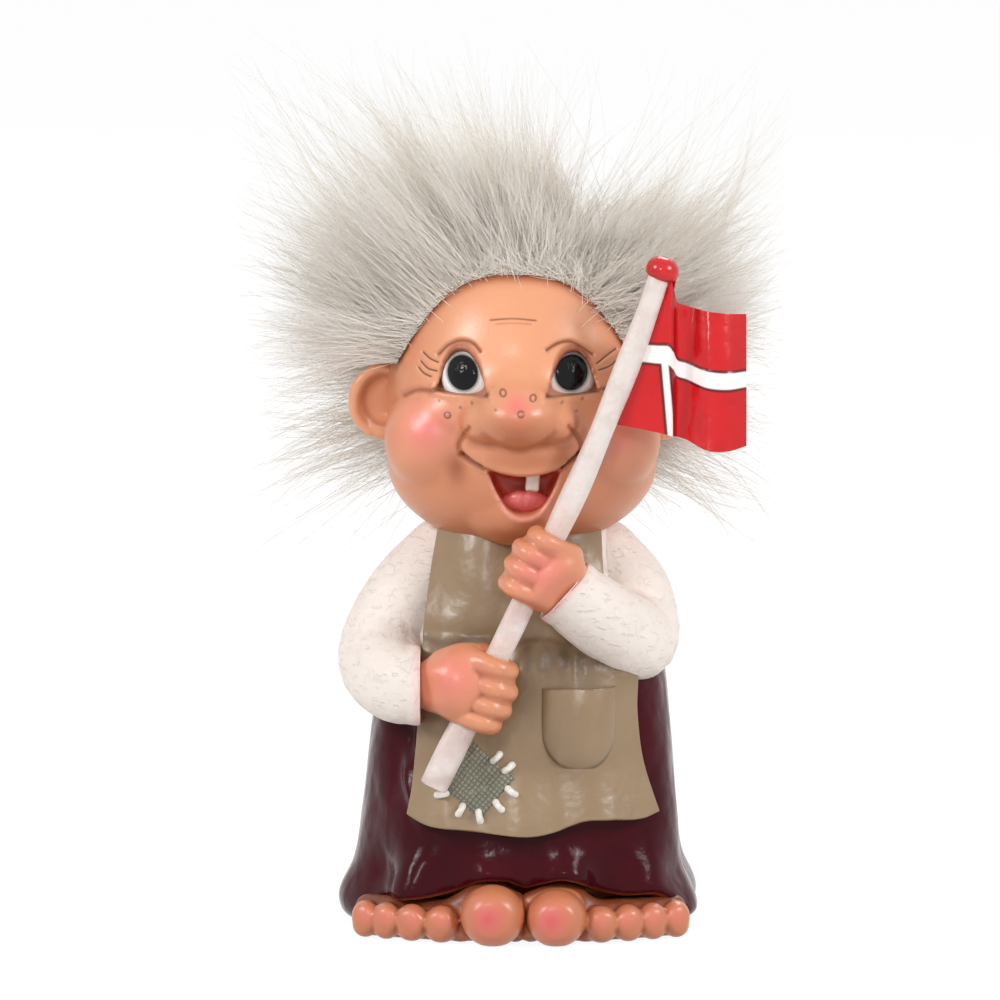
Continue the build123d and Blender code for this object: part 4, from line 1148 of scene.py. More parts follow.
class TROLL_OT_head(bpy.types.Operator):
    """Models the head of clay, opens its mouth and eyes, and draws its folds, lids, lashes and freckles"""
    bl_idname = "troll.head"
    bl_label = "Head"

    # Drawn creases: their line as x, z, then width, depth, and how dark the wash and the brushed line are.
    creases = (
        (((-13.9, 97.3), (-12.3, 98.9), (-10.0, 99.8), (-8.0, 99.3), (-7.0, 98.2)), 0.28, 0.35, 0.5, 0.6),
        (((4.0, 98.5), (5.8, 99.5), (7.7, 99.8), (9.7, 98.9), (11.6, 97.5)), 0.28, 0.35, 0.5, 0.6),
        (((-19.6, 90.1), (-17.4, 91.2), (-14.7, 91.3)), 0.35, 0.4, 0.6, 0.3),
        (((12.9, 91.8), (15.2, 91.8), (17.2, 90.8)), 0.35, 0.4, 0.6, 0.3),
        (((-8.9, 86.2), (-9.9, 84.0), (-10.5, 82.8), (-10.2, 81.2)), 0.35, 0.4, 0.6, 0.2),
        (((7.7, 86.4), (9.0, 84.4), (9.7, 82.8), (9.5, 81.4)), 0.35, 0.4, 0.6, 0.2),
        (((-10.0, 81.1), (-8.4, 79.9), (-6.4, 78.8)), 0.4, 0.8, 0.7, 0.8),
        (((9.5, 81.3), (8.2, 80.2), (6.4, 79.0)), 0.4, 0.8, 0.7, 0.8),
        (((-5.3, 103.2), (-1.6, 103.5), (2.2, 103.2)), 0.12, 0.2, 0.2, 0.55),
        (((-4.4, 102.6), (-1.6, 102.8), (1.4, 102.6)), 0.1, 0.1, 0.1, 0.2),
    )
    lashes = (
        ((-16.4, 97.3), (-15.4, 96.5), (-14.0, 96.0)),
        ((-16.8, 95.8), (-15.6, 94.8), (-14.2, 94.6)),
        ((-17.2, 94.8), (-16.4, 94.0), (-15.2, 93.6)),
        ((15.4, 98.0), (14.0, 97.2), (12.3, 96.0)),
        ((15.6, 96.2), (14.4, 95.4), (12.7, 94.9)),
    )
    freckle_rings = ((-3.2, 92.2), (1.7, 91.5), (-0.3, 89.1), (-12.3, 87.6))
    freckle_dots = ((-13.7, 89.8), (-8.3, 90.0), (-10.2, 89.0), (-4.4, 89.6),
                    (6.4, 90.2), (9.7, 90.4), (8.8, 88.6))
    # The face lies in front of this depth, and the mouth's hollow reaches back to the second one.
    face_depth = -9
    mouth_depth = -16.4
    # Blushes as place, reach and strength, then smudges as place, half sizes and strength.
    blushes = (((-15.9, 85.2), 4.2, 1.0), ((15.6, 84.0), 4.4, 0.6), ((-1.0, 90.4), 2.0, 1.0))
    smudges = (((-10.8, 78.8), (1.8, 2.7), 0.9), ((-10.2, 84.4), (0.9, 1.6), 0.5),
               ((9.8, 84.6), (0.9, 1.6), 0.5))
    nostril_line = ((-6.4, 85.4), (-3.8, 83.8), (-0.6, 83.0), (2.8, 83.8), (5.2, 85.6))

    def mould(self):
        clay = Clay()
        clay.egg(HEAD_CENTRE, *SKULL)
        clay.ball((0, -5.6, 77.8), (22.4, 18.0, 14.2), detail=5)
        for side in (-1, 1):
            clay.ball((side * 13.2, -11.6, 82.6), (9.8, 10.0, 9.6))
            clay.ball((side * 9.0 - 0.8, -13.6, 87.6), (9.0, 8.2, 5.6))
            clay.ball((side * 5.9 - 0.6, -23.4, 86.9), (3.8, 4.6, 3.6))
        clay.ball((-0.7, -25.4, 88.4), (7.0, 7.2, 5.8))
        clay.ball((-0.6, -17.6, 94.6), (4.6, 6.2, 9.0))
        clay.ball((-0.3, -18.6, 80.9), (10.4, 7.0, 4.9))
        clay.ball((-0.3, -15.4, 71.2), (9.6, 7.4, 6.2))
        skin = clay.fuse(0.5, 30)
        x, y, z = skin.points.T
        brow = bell(np.hypot((x + 0.6) / 15, (z - 94.5) / 5.0), 0, 1) * (y < self.face_depth)
        skin.relax(1.6 * brow, 60)
        x, y, z = skin.points.T
        facing = y < self.face_depth
        opened = step(mouth_inside(x, z), -0.3, 0.7) * facing
        skin.points[:, 1] += opened * np.maximum(self.mouth_depth - y, 0)
        for side in EYES:
            opened = step(eye_inside(side, x, z), -0.25, 0.5) * facing
            skin.points[:, 1] += opened * 2.8
        skin = Skin(refined(skin.settle(), 0.4, 2))
        x, y, z = skin.points.T
        rims = bell(mouth_inside(x, z), 0.1, 0.9)
        for side in EYES:
            rims = np.maximum(rims, bell(eye_inside(side, x, z), 0.1, 0.7))
        skin.relax(1.5 * rims * (y < self.face_depth), 4)
        lines = [line for line, *_ in self.creases] + list(self.lashes)
        dots = self.freckle_rings + self.freckle_dots
        for reach in (0.9, 0.4):
            x, y, z = skin.points.T
            away = [skin.distance(line) for line in lines]
            away += [np.hypot(x - place_x, z - place_z) - 0.5 for place_x, place_z in dots]
            near = (np.minimum.reduce(away) < reach) & (y < self.face_depth)
            skin = skin.finer(near)
        return skin

    def execute(self, context):
        skin = self.mould()
        x, y, z = skin.points.T.copy()
        front = step(-skin.normals()[:, 1], 0.05, 0.35) * (y < -8)
        inside = mouth_inside(x, z)
        in_eye = np.full(len(x), -99.0)
        for side in EYES:
            in_eye = np.maximum(in_eye, eye_inside(side, x, z))
        push = 0.4 * front * bell(inside, -0.8, 0.6) + 0.35 * front * bell(in_eye, -0.5, 0.4)
        for line, width, depth, wash_and_painted_shade, drawn in self.creases:
            away = skin.distance(line)
            push -= depth * front * bell(away, 0, width)
            skin.add_mark("wash_and_painted_shade", wash_and_painted_shade * front * bell(away, 0, width * 1.6))
            skin.add_mark("line", drawn * front * step(-away, -0.4 * width - 0.12, -0.4 * width + 0.02))
        for line in self.lashes:
            away = skin.distance(line)
            push -= 0.2 * front * bell(away, 0, 0.25)
            skin.add_mark("line", 0.9 * front * step(-away, -0.2, -0.06))
        for place_x, place_z in self.freckle_rings:
            away = np.hypot(x - place_x, z - place_z)
            push += 0.25 * front * bell(away, 0, 0.3)
            skin.add_mark("line", 0.8 * front * bell(away, 0.48, 0.16))
        for place_x, place_z in self.freckle_dots:
            skin.add_mark("line", 0.55 * front * step(-np.hypot(x - place_x, z - place_z), -0.36, -0.16))
        skin.swell(push)
        self.colour(skin, x, y, z, front, inside, in_eye)
        hand_over("head_casting", skin.settle(), resin_skin("face skin"), "skin_paint", "head")
        return {"FINISHED"}

    def colour(self, skin, x, y, z, front, inside, in_eye):
        """Marks where the blush, the painted shade, the wash with its painted shadows, the lips and the
        mouth's dark inside go.
        """
        # Painted shade on undersides, sides, the chin, under the nose, over the upper lip, on the lower
        # cheeks and under the upper lids; on the chin and nose it is partly the figure's own airbrushed
        # brown.
        normals = skin.normals()
        below = step(-normals[:, 2], 0.15, 0.85)
        beside = step(np.abs(normals[:, 0]), 0.55, 0.95)
        chin = bell(np.hypot((x - 0.5) / 13, (z - 67.0) / 3.6), 0, 1)
        nose = bell(np.hypot((x + 0.6) / 7.4, (z - 86.0) / 3.4), 0, 1) * (y < -20)
        lip = bell(np.hypot((x - 0.2) / 9.0, (z - 80.6) / 2.6), 0, 1) * front
        low = 0.65 * step(-z, -84, -75) * (y < -4)
        upper_lid = 0.9 * step(in_eye, -2.4, -0.4) * step(z, 94.0, 96.0) * front
        shades = (0.8 * below, 0.6 * beside, chin * front, nose, 0.8 * lip, low, upper_lid)
        skin.add_mark("shade", np.maximum.reduce(shades))
        # More painted shade in brown on the chin, under the nose and over the upper lip.
        skin.add_mark("wash_and_painted_shade", np.maximum.reduce((0.4 * chin * front, 0.25 * nose, 0.15 * lip)))
        skin.add_mark("wash_and_painted_shade", 0.9 * skin.hollows(10, 0.28) * (y < -6))
        # Painted shade under the upper lids, partly their own orange-brown paint.
        lid = bell(in_eye, -0.5, 0.95) * step(z, 93.0, 95.5) * front
        skin.add_mark("wash_and_painted_shade", lid)
        # Painted shadow that the wig's edge casts along the hairline.
        skin.add_mark("wash_and_painted_shade", 0.8 * bell(hairline(x, y) - z, 0.3, 0.9) * (y < 2))
        skin.add_mark("line", 0.85 * bell(in_eye, -0.05, 0.36) * front)
        skin.add_mark("mouth", step(inside, 0.0, 0.4) * (y < -8))
        lower_lip = bell(inside, -0.75, 0.55) * step(-z, -79.5, -77) * front
        skin.add_mark("lip", 0.85 * lower_lip)
        for (place_x, place_z), reach, strength in self.blushes:
            away = np.hypot(x - place_x, z - place_z)
            skin.add_mark("blush", strength * bell(away, 0, reach) * (y < -6))
        for (place_x, place_z), (wide, high), strength in self.smudges:
            away = np.hypot((x - place_x) / wide, (z - place_z) / high)
            skin.add_mark("wash_and_painted_shade", strength * bell(away, 0, 1) * front)
        nostrils = skin.distance(self.nostril_line)
        skin.add_mark("wash_and_painted_shade", 0.6 * bell(nostrils, 0, 0.7) * (y < -18))


class TROLL_OT_ears(bpy.types.Operator):
    """Models both ears of clay with a thin rim round a broad, shallow hollow"""
    bl_idname = "troll.ears"
    bl_label = "Ears"

    def execute(self, context):
        paint = resin_skin("ear skin")
        for side, sign in (("right", -1), ("left", 1)):
            clay = Clay()
            clay.ball((sign * 23.4, -1.6, 87.2), (5.3, 2.1, 6.1))
            clay.ball((sign * 23.0, -2.0, 83.4), (3.4, 2.1, 2.6))
            rim = [(sign * (22.9 + 5.0 * math.sin(angle)), -2.9, 87.4 + 5.6 * math.cos(angle))
                   for angle in np.radians((-30, 10, 45, 85, 120, 150))]
            clay.rope(rim, (0.8, 1.0, 1.1, 1.1, 1.0, 0.9))
            skin = clay.fuse(0.3, 6)
            x, y, z = skin.points.T
            dish = np.hypot((x - sign * 22.9) / 4.0, (z - 87.8) / 4.5)
            skin.points[:, 1] += 0.9 * step(-dish, -1.0, -0.6) * (y < -1.8)
            skin.relax(step(-dish, -1.1, -0.9) * (y < -0.5), 12)
            skin.add_mark("wash_and_painted_shade", 0.55 * bell(dish, 0.9, 0.14) * (y < -1.6))
            # Painted shade in the ear's hollow.
            skin.add_mark("shade", 0.4 * step(-dish, -1.0, -0.3))
            hand_over(side + "_ear_casting", skin.settle(), paint, "skin_paint", side + "_ear")
        return {"FINISHED"}


class TROLL_OT_eyes(bpy.types.Operator):
    """Models both eyes as domes that look out of their openings, with a raised glossy iris"""
    bl_idname = "troll.eyes"
    bl_label = "Eyes"

    half_sizes = (5.2, 3.4, 4.9)
    # Foremost place of each dome, and its lean about x and z in degrees.
    domes = {"right": ((-10.0, -21.5, 94.7), -13, -27), "left": ((8.3, -22.0, 94.8), -13, 23)}

    def execute(self, context):
        for side, (front, tilt, turn) in self.domes.items():
            out = Euler((math.radians(tilt), 0, math.radians(turn))).to_matrix() @ Vector((0, -1, 0))
            clay = Clay()
            clay.ball(Vector(front) - out * self.half_sizes[1], self.half_sizes, (tilt, 0, turn), detail=6)
            skin = Skin(mesh_of(clay.form, "eye"))
            (iris_x, iris_z), (wide, high) = IRISES[side]
            x, y, z = skin.points.T
            away = np.hypot((x - iris_x) / wide, (z - iris_z) / high)
            skin.points[:, 1] -= 0.25 * np.sqrt(np.clip(1 - away ** 2, 0, 1)) * (y < front[1] + 3)
            gloss = glossy_eye(side + " eye gloss", (iris_x, iris_z), (wide, high))
            hand_over(side + "_eye_casting", skin.settle(), gloss, "eye_paint", side + "_eye")
        return {"FINISHED"}


class TROLL_OT_mouth(bpy.types.Operator):
    """Models the tongue of clay, with its middle furrow, and the one tooth from a bevelled block"""
    bl_idname = "troll.mouth"
    bl_label = "Tongue and tooth"

    def execute(self, context):
        clay = Clay()
        clay.ball((0.4, -18.0, 72.4), (4.3, 4.0, 2.0), (-30, 0, 0))
        skin = clay.fuse(0.25, 2)
        x, _, z = skin.points.T
        skin.swell(-0.25 * bell(x, 0.3, 0.5) * step(z, 72, 74))
        pink = plain_gloss("tongue pink", paints().tongue, srgb(212, 96, 96),
                           roughness=0.22, grains=0.6, depth=0.1)
        hand_over("tongue_casting", skin.settle(), pink, "tongue_paint", "tongue")
        form = bmesh.new()
        block = Matrix.Translation((1.7, -19.2, 76.6)) @ Matrix.Rotation(math.radians(4), 4, "Y")
        bmesh.ops.create_cube(form, size=1, matrix=block @ Matrix.Diagonal((2.3, 1.5, 3.8, 1)))
        bmesh.ops.bevel(form, geom=form.edges[:], offset=0.45, offset_type="OFFSET", affect="EDGES",
                        segments=5, profile=0.5, material=-1)
        white = plain_gloss("tooth white", paints().tooth, srgb(236, 226, 206),
                            roughness=0.15, grains=0.6, depth=0.05)
        hand_over("tooth_casting", mesh_of(form, "tooth"), white, "tooth_paint", "tooth")
        return {"FINISHED"}


# The wig

NAPE = 76.0


def hairline(x, y):
    """Height of the wig's edge: an arch over the forehead that runs down behind the ears to the nape."""
    front = np.maximum(110.2 - 0.0067 * np.abs(x + 1) ** 2.6, 94.6)
    return front + (NAPE - front) * step(y, 0, 8)


def skull_reach(directions, growth):
    """Distance of the skull's skin from the head's centre along each direction."""
    wide, deep, below, above = SKULL
    tall = np.where(directions[:, 2] > 0, above, below)
    half_sizes = rows_of(np.full(len(tall), wide), np.full(len(tall), deep), tall) + growth
    return 1 / np.linalg.norm(directions / half_sizes, axis=1)


class TROLL_OT_hide(bpy.types.Operator):
    """Cuts the wig's hide from a shell round the skull along the hairline"""
    bl_idname = "troll.hide"
    bl_label = "Wig hide"

    def execute(self, context):
        wide, deep, below, above = SKULL
        clay = Clay()
        clay.egg(HEAD_CENTRE, wide + 0.1, deep + 0.1, below + 0.1, above + 0.1)
        form = clay.form
        bare = []
        for face in form.faces:
            centre = face.calc_center_median()
            if centre.z < hairline(centre.x, centre.y):
                bare.append(face)
        bmesh.ops.delete(form, geom=bare, context="FACES")
        for vert in form.verts:
            vert.co.z = max(vert.co.z, float(hairline(vert.co.x, vert.co.y)))
        mesh = modified(mesh_of(form, "hide"), ("SOLIDIFY", {"thickness": 0.4, "offset": 1.0}))
        felt = plain_gloss("hide felt", srgb(176, 165, 150), srgb(158, 146, 131),
                           roughness=0.8, grains=1.5, depth=0.3, specular=0.2)
        hand_over("wig_hide_backing", mesh, felt, "wig_hide", "wig_hide")
        return {"FINISHED"}


class TROLL_OT_hair(bpy.types.Operator):
    """Grows the wig's wool, locks, loose hairs and fringe, each hair a thin tapered tube, in a few pieces"""
    bl_idname = "troll.hair"
    bl_label = "Wig hair"

    rings = 6
    sides = 3
    tufts = 240
    locks = 520
    hairs_in_lock = 11
    loose = 800
    fringe = 6500
    hairs_in_piece = 6200
    swirl_centre = np.array((0, 2.0, 90.0))
    parting = 8.0
    # Directions seen from the front, as x, z, in which the hair is longer or shorter, and by what share.
    lengthening = (((-0.62, 0.78), 0.45), ((0.82, 0.57), 0.35), ((-0.98, 0.2), 0.3), ((-0.8, -0.6), 1.0),
                   ((0.78, -0.62), 0.8), ((0.28, 0.96), -0.4), ((-0.2, 0.98), 0.1))
    # How far the tips may reach to each side, as the lowest and highest x, y and z.
    reach = np.array(((-49.0, -27.0, 54.0), (46.0, 48.0, 146.0)))

    def unit(self, ways):
        return ways / np.linalg.norm(ways, axis=1)[:, None]

    def on_hide(self, places):
        """The places brought onto the hide along their direction from the head's centre."""
        ways = self.unit(places - np.array(HEAD_CENTRE))
        return np.array(HEAD_CENTRE) + ways * skull_reach(ways, 0.4)[:, None]

    def roots(self, rng, count, low, high):
        """Places on the hide whose height above its edge lies between low and high."""
        drawn = count * (40 if high < 9 else 4)
        places = self.on_hide(np.array(HEAD_CENTRE) + rng.normal(size=(drawn, 3)))
        above = places[:, 2] - hairline(places[:, 0], places[:, 1])
        return places[(above > low) & (above < high)][:count]

    def growth(self, places):
        """Direction in which the hair grows: away from the head and its parting, up and back in front."""
        out = places - self.swirl_centre
        behind = step(out[:, 1], 0, 14)
        below = step(-out[:, 2], -6, 12)
        parted = np.where(places[:, 0] < self.parting, -1, 1) * step(out[:, 2], 8, 18) * 6.0
        sideways = out[:, 0] * (1 + 1.1 * behind * below) + parted
        back = np.where(out[:, 1] < 0, out[:, 1] * 0.3 + 2.0, out[:, 1] * (1 - 0.35 * below) + 2.0)
        return self.unit(rows_of(sideways, back, out[:, 2]))

    def longer(self, ways):
        """Share of the usual length for hairs of these directions."""
        flat = ways[:, (0, 2)] / np.maximum(np.linalg.norm(ways[:, (0, 2)], axis=1), 0.2)[:, None]
        share = np.ones(len(flat))
        for (x, z), more in self.lengthening:
            share += more * np.exp((flat @ np.array((x, z)) - 1) / 0.07)
        return share

    def fuller(self, places):
        """Share of the full length by place: shorter at the parting and low on the sides and the nape."""
        dip = 0.5 * bell(places[:, 0], self.parting + 1, 5) * step(places[:, 2], 104, 112)
        low = 0.45 * step(-places[:, 2], -96, -86)
        return 1 - np.maximum(dip, low)

    def nearest(self, places, centres):
        squares = (centres ** 2).sum(1)[None] - 2 * places @ centres.T
        return squares.argmin(1)

    def room(self, rng, places, runs):
        """Share of each run that stays within the wig's reach."""
        limit = np.where(runs < 0, self.reach[0], self.reach[1])
        share = (np.abs(limit - places) / np.maximum(np.abs(runs), 0.01)).min(1)
        return np.where(share < 1, share * rng.uniform(0.8, 1.0, len(places)), 1.0)

    def steps(self):
        """Shares of a hair's length at its rings, shaped to spread over hairs and axes."""
        return np.linspace(0, 1, self.rings)[None, :, None]

    def curves(self, places, runs, bends, shares=1.0):
        """Bent lines from the places, each followed as far as its share."""
        t = self.steps() * np.reshape(shares, (-1, 1, 1))
        return places[:, None] + runs[:, None] * t + bends[:, None] * t ** 2

    def waves(self, rng, count, size):
        """Small waves that grow towards the tips."""
        t = self.steps()
        wave = np.sin(t * 6 + rng.uniform(0, 6, (count, 1, 1))) * t
        return rng.normal(scale=size, size=(count, 1, 3)) * wave

    def wool(self, rng, count):
        """Short soft hairs all over the hide, drawn together in loose tufts."""
        places = self.roots(rng, count, 0.0, 99.0)
        thinned = np.where(places[:, 0] > 0, 0.3, 0.86) * step(-places[:, 2], -98, -89)
        places = places[rng.random(len(places)) > thinned]
        count = len(places)
        centres = places[rng.choice(count, self.tufts, replace=False)]
        tuft = self.nearest(places, centres)
        leans = rng.normal(scale=0.24, size=(self.tufts, 3))
        ways = self.unit(self.growth(places) + leans[tuft] + rng.normal(scale=0.13, size=(count, 3)))
        lengths = self.longer(ways) ** 0.8 * rng.uniform(0.4, 0.8, count) * sizes().hair_length / MM
        lengths *= self.fuller(places)
        bends = rng.normal(scale=2.6, size=(self.tufts, 3))[tuft] + rng.normal(scale=1.3, size=(count, 3))
        runs = ways * lengths[:, None]
        runs *= self.room(rng, places, runs + bends)[:, None]
        t = self.steps()
        drawn_in = (centres[tuft] - places)[:, None] * 0.6 * t
        return self.curves(places, runs, bends) + drawn_in + self.waves(rng, count, 0.6)

    def lock_lines(self, rng):
        """Long hairs in pointed locks."""
        centres = self.roots(rng, self.locks, 0.6, 99.0)
        centres = centres[rng.random(len(centres)) > 0.3 * step(-centres[:, 2], -97, -88)]
        count = len(centres)
        ways = self.unit(self.growth(centres) + rng.normal(scale=0.2, size=(count, 3)))
        lengths = self.longer(ways) * rng.uniform(0.9, 1.4, count) * sizes().hair_length / MM
        lengths *= 0.4 + 0.6 * self.fuller(centres)
        bends = rng.normal(scale=5.5, size=(count, 3))
        runs = ways * lengths[:, None]
        runs *= self.room(rng, centres, runs + bends)[:, None]
        lock = np.repeat(np.arange(count), self.hairs_in_lock)
        hairs = len(lock)
        roots = self.on_hide(centres[lock] + rng.normal(scale=2.2, size=(hairs, 3)))
        axes = self.curves(centres[lock], runs[lock], bends[lock], rng.uniform(0.55, 1.0, hairs))
        t = self.steps()
        tightness = rng.uniform(0.2, 0.85, hairs)[:, None, None]
        spread = (roots - centres[lock])[:, None] * (1 - tightness * t ** 0.8)
        return axes + spread + self.waves(rng, hairs, 0.35)

    def loose_lines(self, rng):
        """Single long hairs that swing out in wide bows."""
        places = self.roots(rng, self.loose, 1.0, 99.0)
        count = len(places)
        ways = self.unit(self.growth(places) + rng.normal(scale=0.3, size=(count, 3)))
        lengths = self.longer(ways) * rng.uniform(0.9, 1.5, count) * sizes().hair_length / MM
        bends = rng.normal(scale=11.0, size=(count, 3))
        runs = ways * lengths[:, None]
        share = self.room(rng, places, runs + bends)[:, None]
        return self.curves(places, runs * share, bends * share)

    def fringe_lines(self, rng):
        """Short soft hairs that swirl along the hairline, a few of them down over the skin."""
        places = self.roots(rng, self.fringe, 0.0, 4.5)
        count = len(places)
        away = self.unit(places - np.array(HEAD_CENTRE))
        up = np.array((0, 0.4, 0.92))
        along = self.unit(up - away * (away @ up)[:, None])
        aside = np.cross(along, away) * np.sign(rng.normal(size=(count, 1)) + places[:, :1] * 0.1)
        rise = rng.uniform(-0.3, 0.6, count)[:, None]
        ways = self.unit(along * rise + away * 0.3 + aside + rng.normal(scale=0.2, size=(count, 3)))
        lengths = rng.uniform(3, 9, count)[:, None]
        bends = along * (1.2 + 1.6 * np.abs(rise)) + away * 0.6 + rng.normal(scale=1.0, size=(count, 3))
        return self.curves(places, ways * lengths, bends)

    def clear_of_face(self, lines):
        """Leaves out the hairs that would cross an ear or a cheek."""
        x, y, z = np.moveaxis(lines, 2, 0)
        aside = np.abs(x)
        on_ear = (aside > 18.5) & (aside < 30) & (y < 0.5) & (z > 79) & (z < 94)
        on_cheek = (aside > 13) & (aside < 24) & (y < 0.5) & (z < hairline(x, y) - 1.5)
        return lines[~(on_ear | on_cheek).any(1)]

    def outline(self):
        """The small triangle that each hair is swept with."""
        curve = bpy.data.curves.new("hair outline", "CURVE")
        spline = curve.splines.new("POLY")
        spline.points.add(self.sides - 1)
        spline.use_cyclic_u = True
        for number, point in enumerate(spline.points):
            angle = -2 * math.pi * number / self.sides
            point.co = (math.cos(angle), math.sin(angle), 0, 1)
        holder = bpy.data.objects.new("hair outline", curve)
        bpy.context.scene.collection.objects.link(holder)
        return holder

    def swept(self, lines, taper, outline):
        """A mesh of tubes along the lines."""
        curve = bpy.data.curves.new("hair", "CURVE")
        curve.dimensions = "3D"
        curve.bevel_mode = "OBJECT"
        curve.bevel_object = outline
        padded = np.ones((*lines.shape[:2], 4))
        padded[:, :, :3] = lines
        for hair in padded:
            spline = curve.splines.new("POLY")
            spline.points.add(self.rings - 1)
            spline.points.foreach_set("co", hair.ravel())
            spline.points.foreach_set("radius", taper)
        holder = bpy.data.objects.new("hair", curve)
        bpy.context.scene.collection.objects.link(holder)
        graph = bpy.context.evaluated_depsgraph_get()
        mesh = bpy.data.meshes.new_from_object(holder.evaluated_get(graph))
        bpy.data.objects.remove(holder)
        bpy.data.curves.remove(curve)
        return mesh

    def lay_map(self, mesh, shades, tones):
        """Gives each hair its shade across the map, and its tones from root to tip along it."""
        ring = self.rings * self.sides
        if len(mesh.vertices) != len(shades) * ring:
            raise RuntimeError("the hair's tubes have another number of points than expected")
        corners = np.empty(len(mesh.loops), np.int32)
        mesh.loops.foreach_get("vertex_index", corners)
        along = (corners % ring) // self.sides / (self.rings - 1)
        first, last = tones[corners // ring].T
        layer = mesh.uv_layers[0] if mesh.uv_layers else mesh.uv_layers.new()
        layer.name = "OFBake"
        places = 0.01 + 0.98 * np.stack((shades[corners // ring], first + (last - first) * along), axis=1)
        layer.data.foreach_set("uv", places.astype(np.float32).ravel())

    def execute(self, context):
        rng = np.random.default_rng(sizes().hair_seed)
        kinds = ((self.wool(rng, sizes().hair_count), 0.0, 0.8), (self.lock_lines(rng), 0.0, 0.3),
                 (self.loose_lines(rng), 0.0, 0.3), (self.fringe_lines(rng), 0.0, 0.5))
        kinds = [(self.clear_of_face(kind), first, last) for kind, first, last in kinds]
        lines = np.concatenate([kind for kind, _, _ in kinds])
        tones = np.concatenate([np.tile((first, last), (len(kind), 1)) for kind, first, last in kinds])
        shades = rng.uniform(0, 0.66, len(lines))
        long_hairs = slice(len(kinds[0][0]), -len(kinds[-1][0]))
        shades[long_hairs] = rng.uniform(0.7, 1.0, len(shades[long_hairs]))
        order = rng.permutation(len(lines))
        taper = sizes().hair_radius / MM * (1 - 0.8 * np.linspace(0, 1, self.rings) ** 1.4)
        outline = self.outline()
        hair = fine_hair("wig hair")
        for number, start in enumerate(range(0, len(lines), self.hairs_in_piece), 1):
            part = order[start:start + self.hairs_in_piece]
            mesh = self.swept(lines[part], taper, outline)
            self.lay_map(mesh, shades[part], tones[part])
            hand_over(f"wig_hair_{number}", mesh, hair, "wig_fur", "wig_fur")
        bpy.data.objects.remove(outline)
        return {"FINISHED"}


# The stage

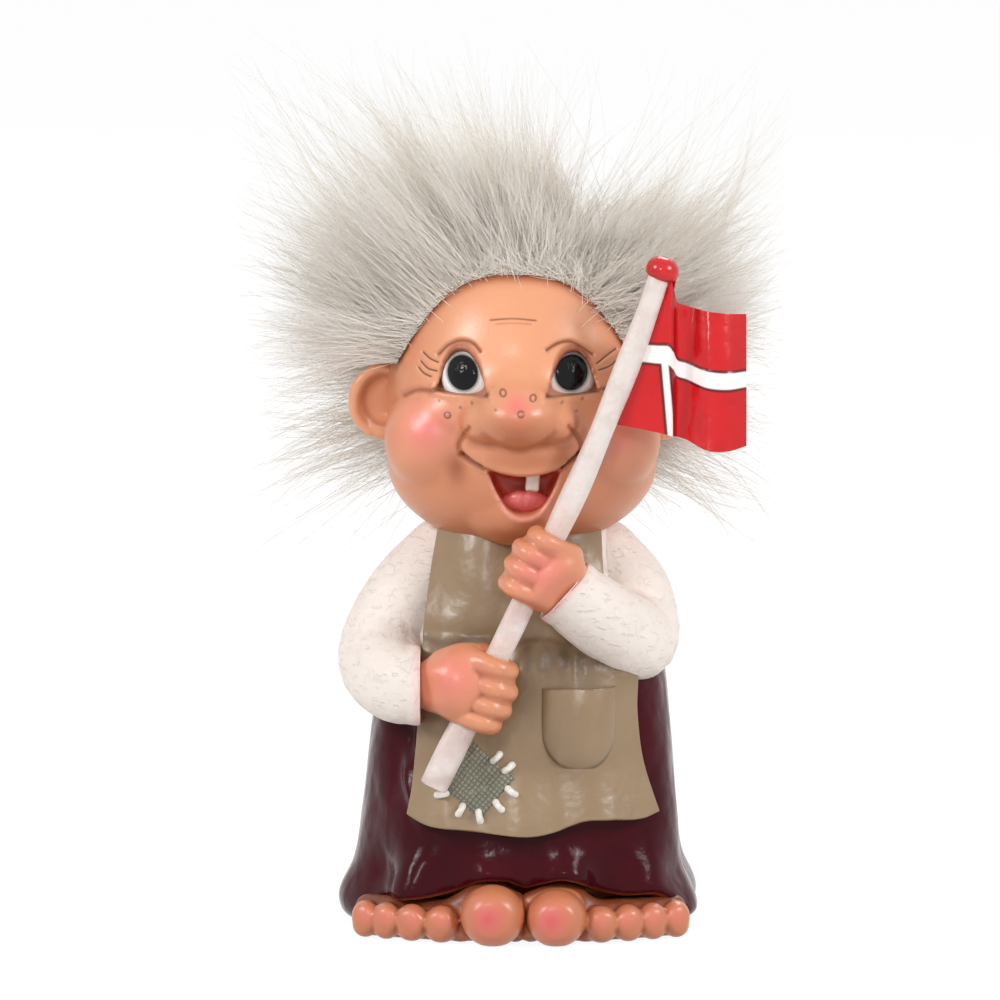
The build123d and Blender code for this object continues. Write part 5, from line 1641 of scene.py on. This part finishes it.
class TROLL_OT_stage(bpy.types.Operator):
    """Sets the pale floor, the studio light and the camera at the photograph's angle"""
    bl_idname = "troll.stage"
    bl_label = "Stage"

    # Name, place, width and power of each lamp, in metres and watts, and the place they all aim at.
    lamps = (("left softbox", (-0.78, -0.5, 0.62), 0.35, 3.6), ("left core", (-0.77, -0.5, 0.62), 0.1, 1.2),
             ("right softbox", (0.78, -0.5, 0.6), 0.35, 4.2), ("right core", (0.77, -0.5, 0.6), 0.1, 1.0),
             ("front lamp", (-0.22, -1.0, 0.5), 0.12, 1.7), ("rim softbox", (0.15, 0.75, 0.75), 0.4, 4.0))
    aim = Vector((0, -0.01, 0.07))

    def add_lamp(self, name, place, width, power):
        lamp = bpy.data.lights.new(name, "AREA")
        lamp.shape = "SQUARE"
        lamp.size = width
        lamp.energy = power
        holder = bpy.data.objects.new(name, lamp)
        holder.location = place
        holder.rotation_euler = (self.aim - Vector(place)).to_track_quat("-Z", "Y").to_euler()
        bpy.context.scene.collection.objects.link(holder)

    def seen(self, tree):
        """1 for a ray that looks straight at a surface or meets it in a reflection, and 0 for its light."""
        path = tree.nodes.new("ShaderNodeLightPath")
        rays = ("Is Camera Ray", "Is Glossy Ray", "Is Transmission Ray")
        looking, mirrored, through = [Value(tree, path.outputs[ray]) for ray in rays]
        return looking | mirrored | through

    def backdrop(self):
        """White for whatever looks straight at it, and a mild light for the figure."""
        world = bpy.data.worlds.new("studio")
        world.use_nodes = True
        bpy.context.scene.world = world
        tree = world.node_tree
        tree.nodes.clear()
        shine = tree.nodes.new("ShaderNodeBackground")
        ambient = 0.45
        feed(tree, shine.inputs["Strength"], ambient + self.seen(tree) * (1 - ambient))
        shine.inputs["Color"].default_value = (1, 1, 1, 1)
        out = tree.nodes.new("ShaderNodeOutputWorld")
        tree.links.new(shine.outputs[0], out.inputs["Surface"])

    def floor(self):
        form = bmesh.new()
        bmesh.ops.create_grid(form, x_segments=8, y_segments=8, size=6)
        mesh = mesh_of(form, "floor")
        finish = Finish("pale floor")
        seen = self.seen(finish.tree)
        glow = finish.node("Emission", {}, {"Color": (1, 1, 1), "Strength": 1.15})
        matt = finish.node("BsdfDiffuse", {}, {"Color": (0.7, 0.7, 0.7)})
        both = finish.node("MixShader", {}, {0: seen * 0.8, 1: matt, 2: glow})
        finish.node("OutputMaterial", {}, {"Surface": both})
        mesh.materials.append(finish.material)
        floor = bpy.data.objects.new("floor", mesh)
        bpy.context.scene.collection.objects.link(floor)

    def execute(self, context):
        scene = bpy.context.scene
        scene.view_settings.view_transform = "Standard"
        self.backdrop()
        self.floor()
        for lamp in self.lamps:
            self.add_lamp(*lamp)
        target = Vector((-0.0037, -0.026, 0.0742))
        elevation = math.radians(8)
        distance, frame_width, sensor = 1.4, 0.1638, 36.0
        camera = bpy.data.cameras.new("photo camera")
        camera.sensor_width = sensor
        camera.lens = sensor * distance / frame_width
        holder = bpy.data.objects.new("photo camera", camera)
        holder.location = target + distance * Vector((0, -math.cos(elevation), math.sin(elevation)))
        holder.rotation_euler = (math.pi / 2 - elevation, 0, 0)
        scene.collection.objects.link(holder)
        scene.camera = holder
        return {"FINISHED"}


PIECES = (TROLL_OT_skirt, TROLL_OT_torso, TROLL_OT_sleeves, TROLL_OT_hands, TROLL_OT_feet, TROLL_OT_apron,
          TROLL_OT_pocket, TROLL_OT_patch, TROLL_OT_staff, TROLL_OT_knob, TROLL_OT_flag, TROLL_OT_head,
          TROLL_OT_ears, TROLL_OT_eyes, TROLL_OT_mouth, TROLL_OT_hide, TROLL_OT_hair, TROLL_OT_stage)


class TROLL_PT_panel(bpy.types.Panel):
    """Lists the figure's paints, sizes and pieces"""
    bl_idname = "TROLL_PT_panel"
    bl_label = "Troll figure"
    bl_space_type = "VIEW_3D"
    bl_region_type = "UI"
    bl_category = "Troll"

    def draw(self, context):
        for group in (context.scene.troll_paints, context.scene.troll_sizes):
            for name in group.__annotations__:
                self.layout.prop(group, name)
        for piece in PIECES:
            self.layout.operator(piece.bl_idname)


CLASSES = (TrollPaints, TrollSizes, *PIECES, TROLL_PT_panel)


def register():
    for item in CLASSES:
        bpy.utils.register_class(item)
    bpy.types.Scene.troll_paints = bpy.props.PointerProperty(type=TrollPaints)
    bpy.types.Scene.troll_sizes = bpy.props.PointerProperty(type=TrollSizes)


def unregister():
    del bpy.types.Scene.troll_sizes
    del bpy.types.Scene.troll_paints
    for item in reversed(CLASSES):
        bpy.utils.unregister_class(item)


def main():
    register()
    for piece in PIECES:
        family, name = piece.bl_idname.split(".")
        getattr(getattr(bpy.ops, family), name)()


if __name__ == "__main__":
    main()
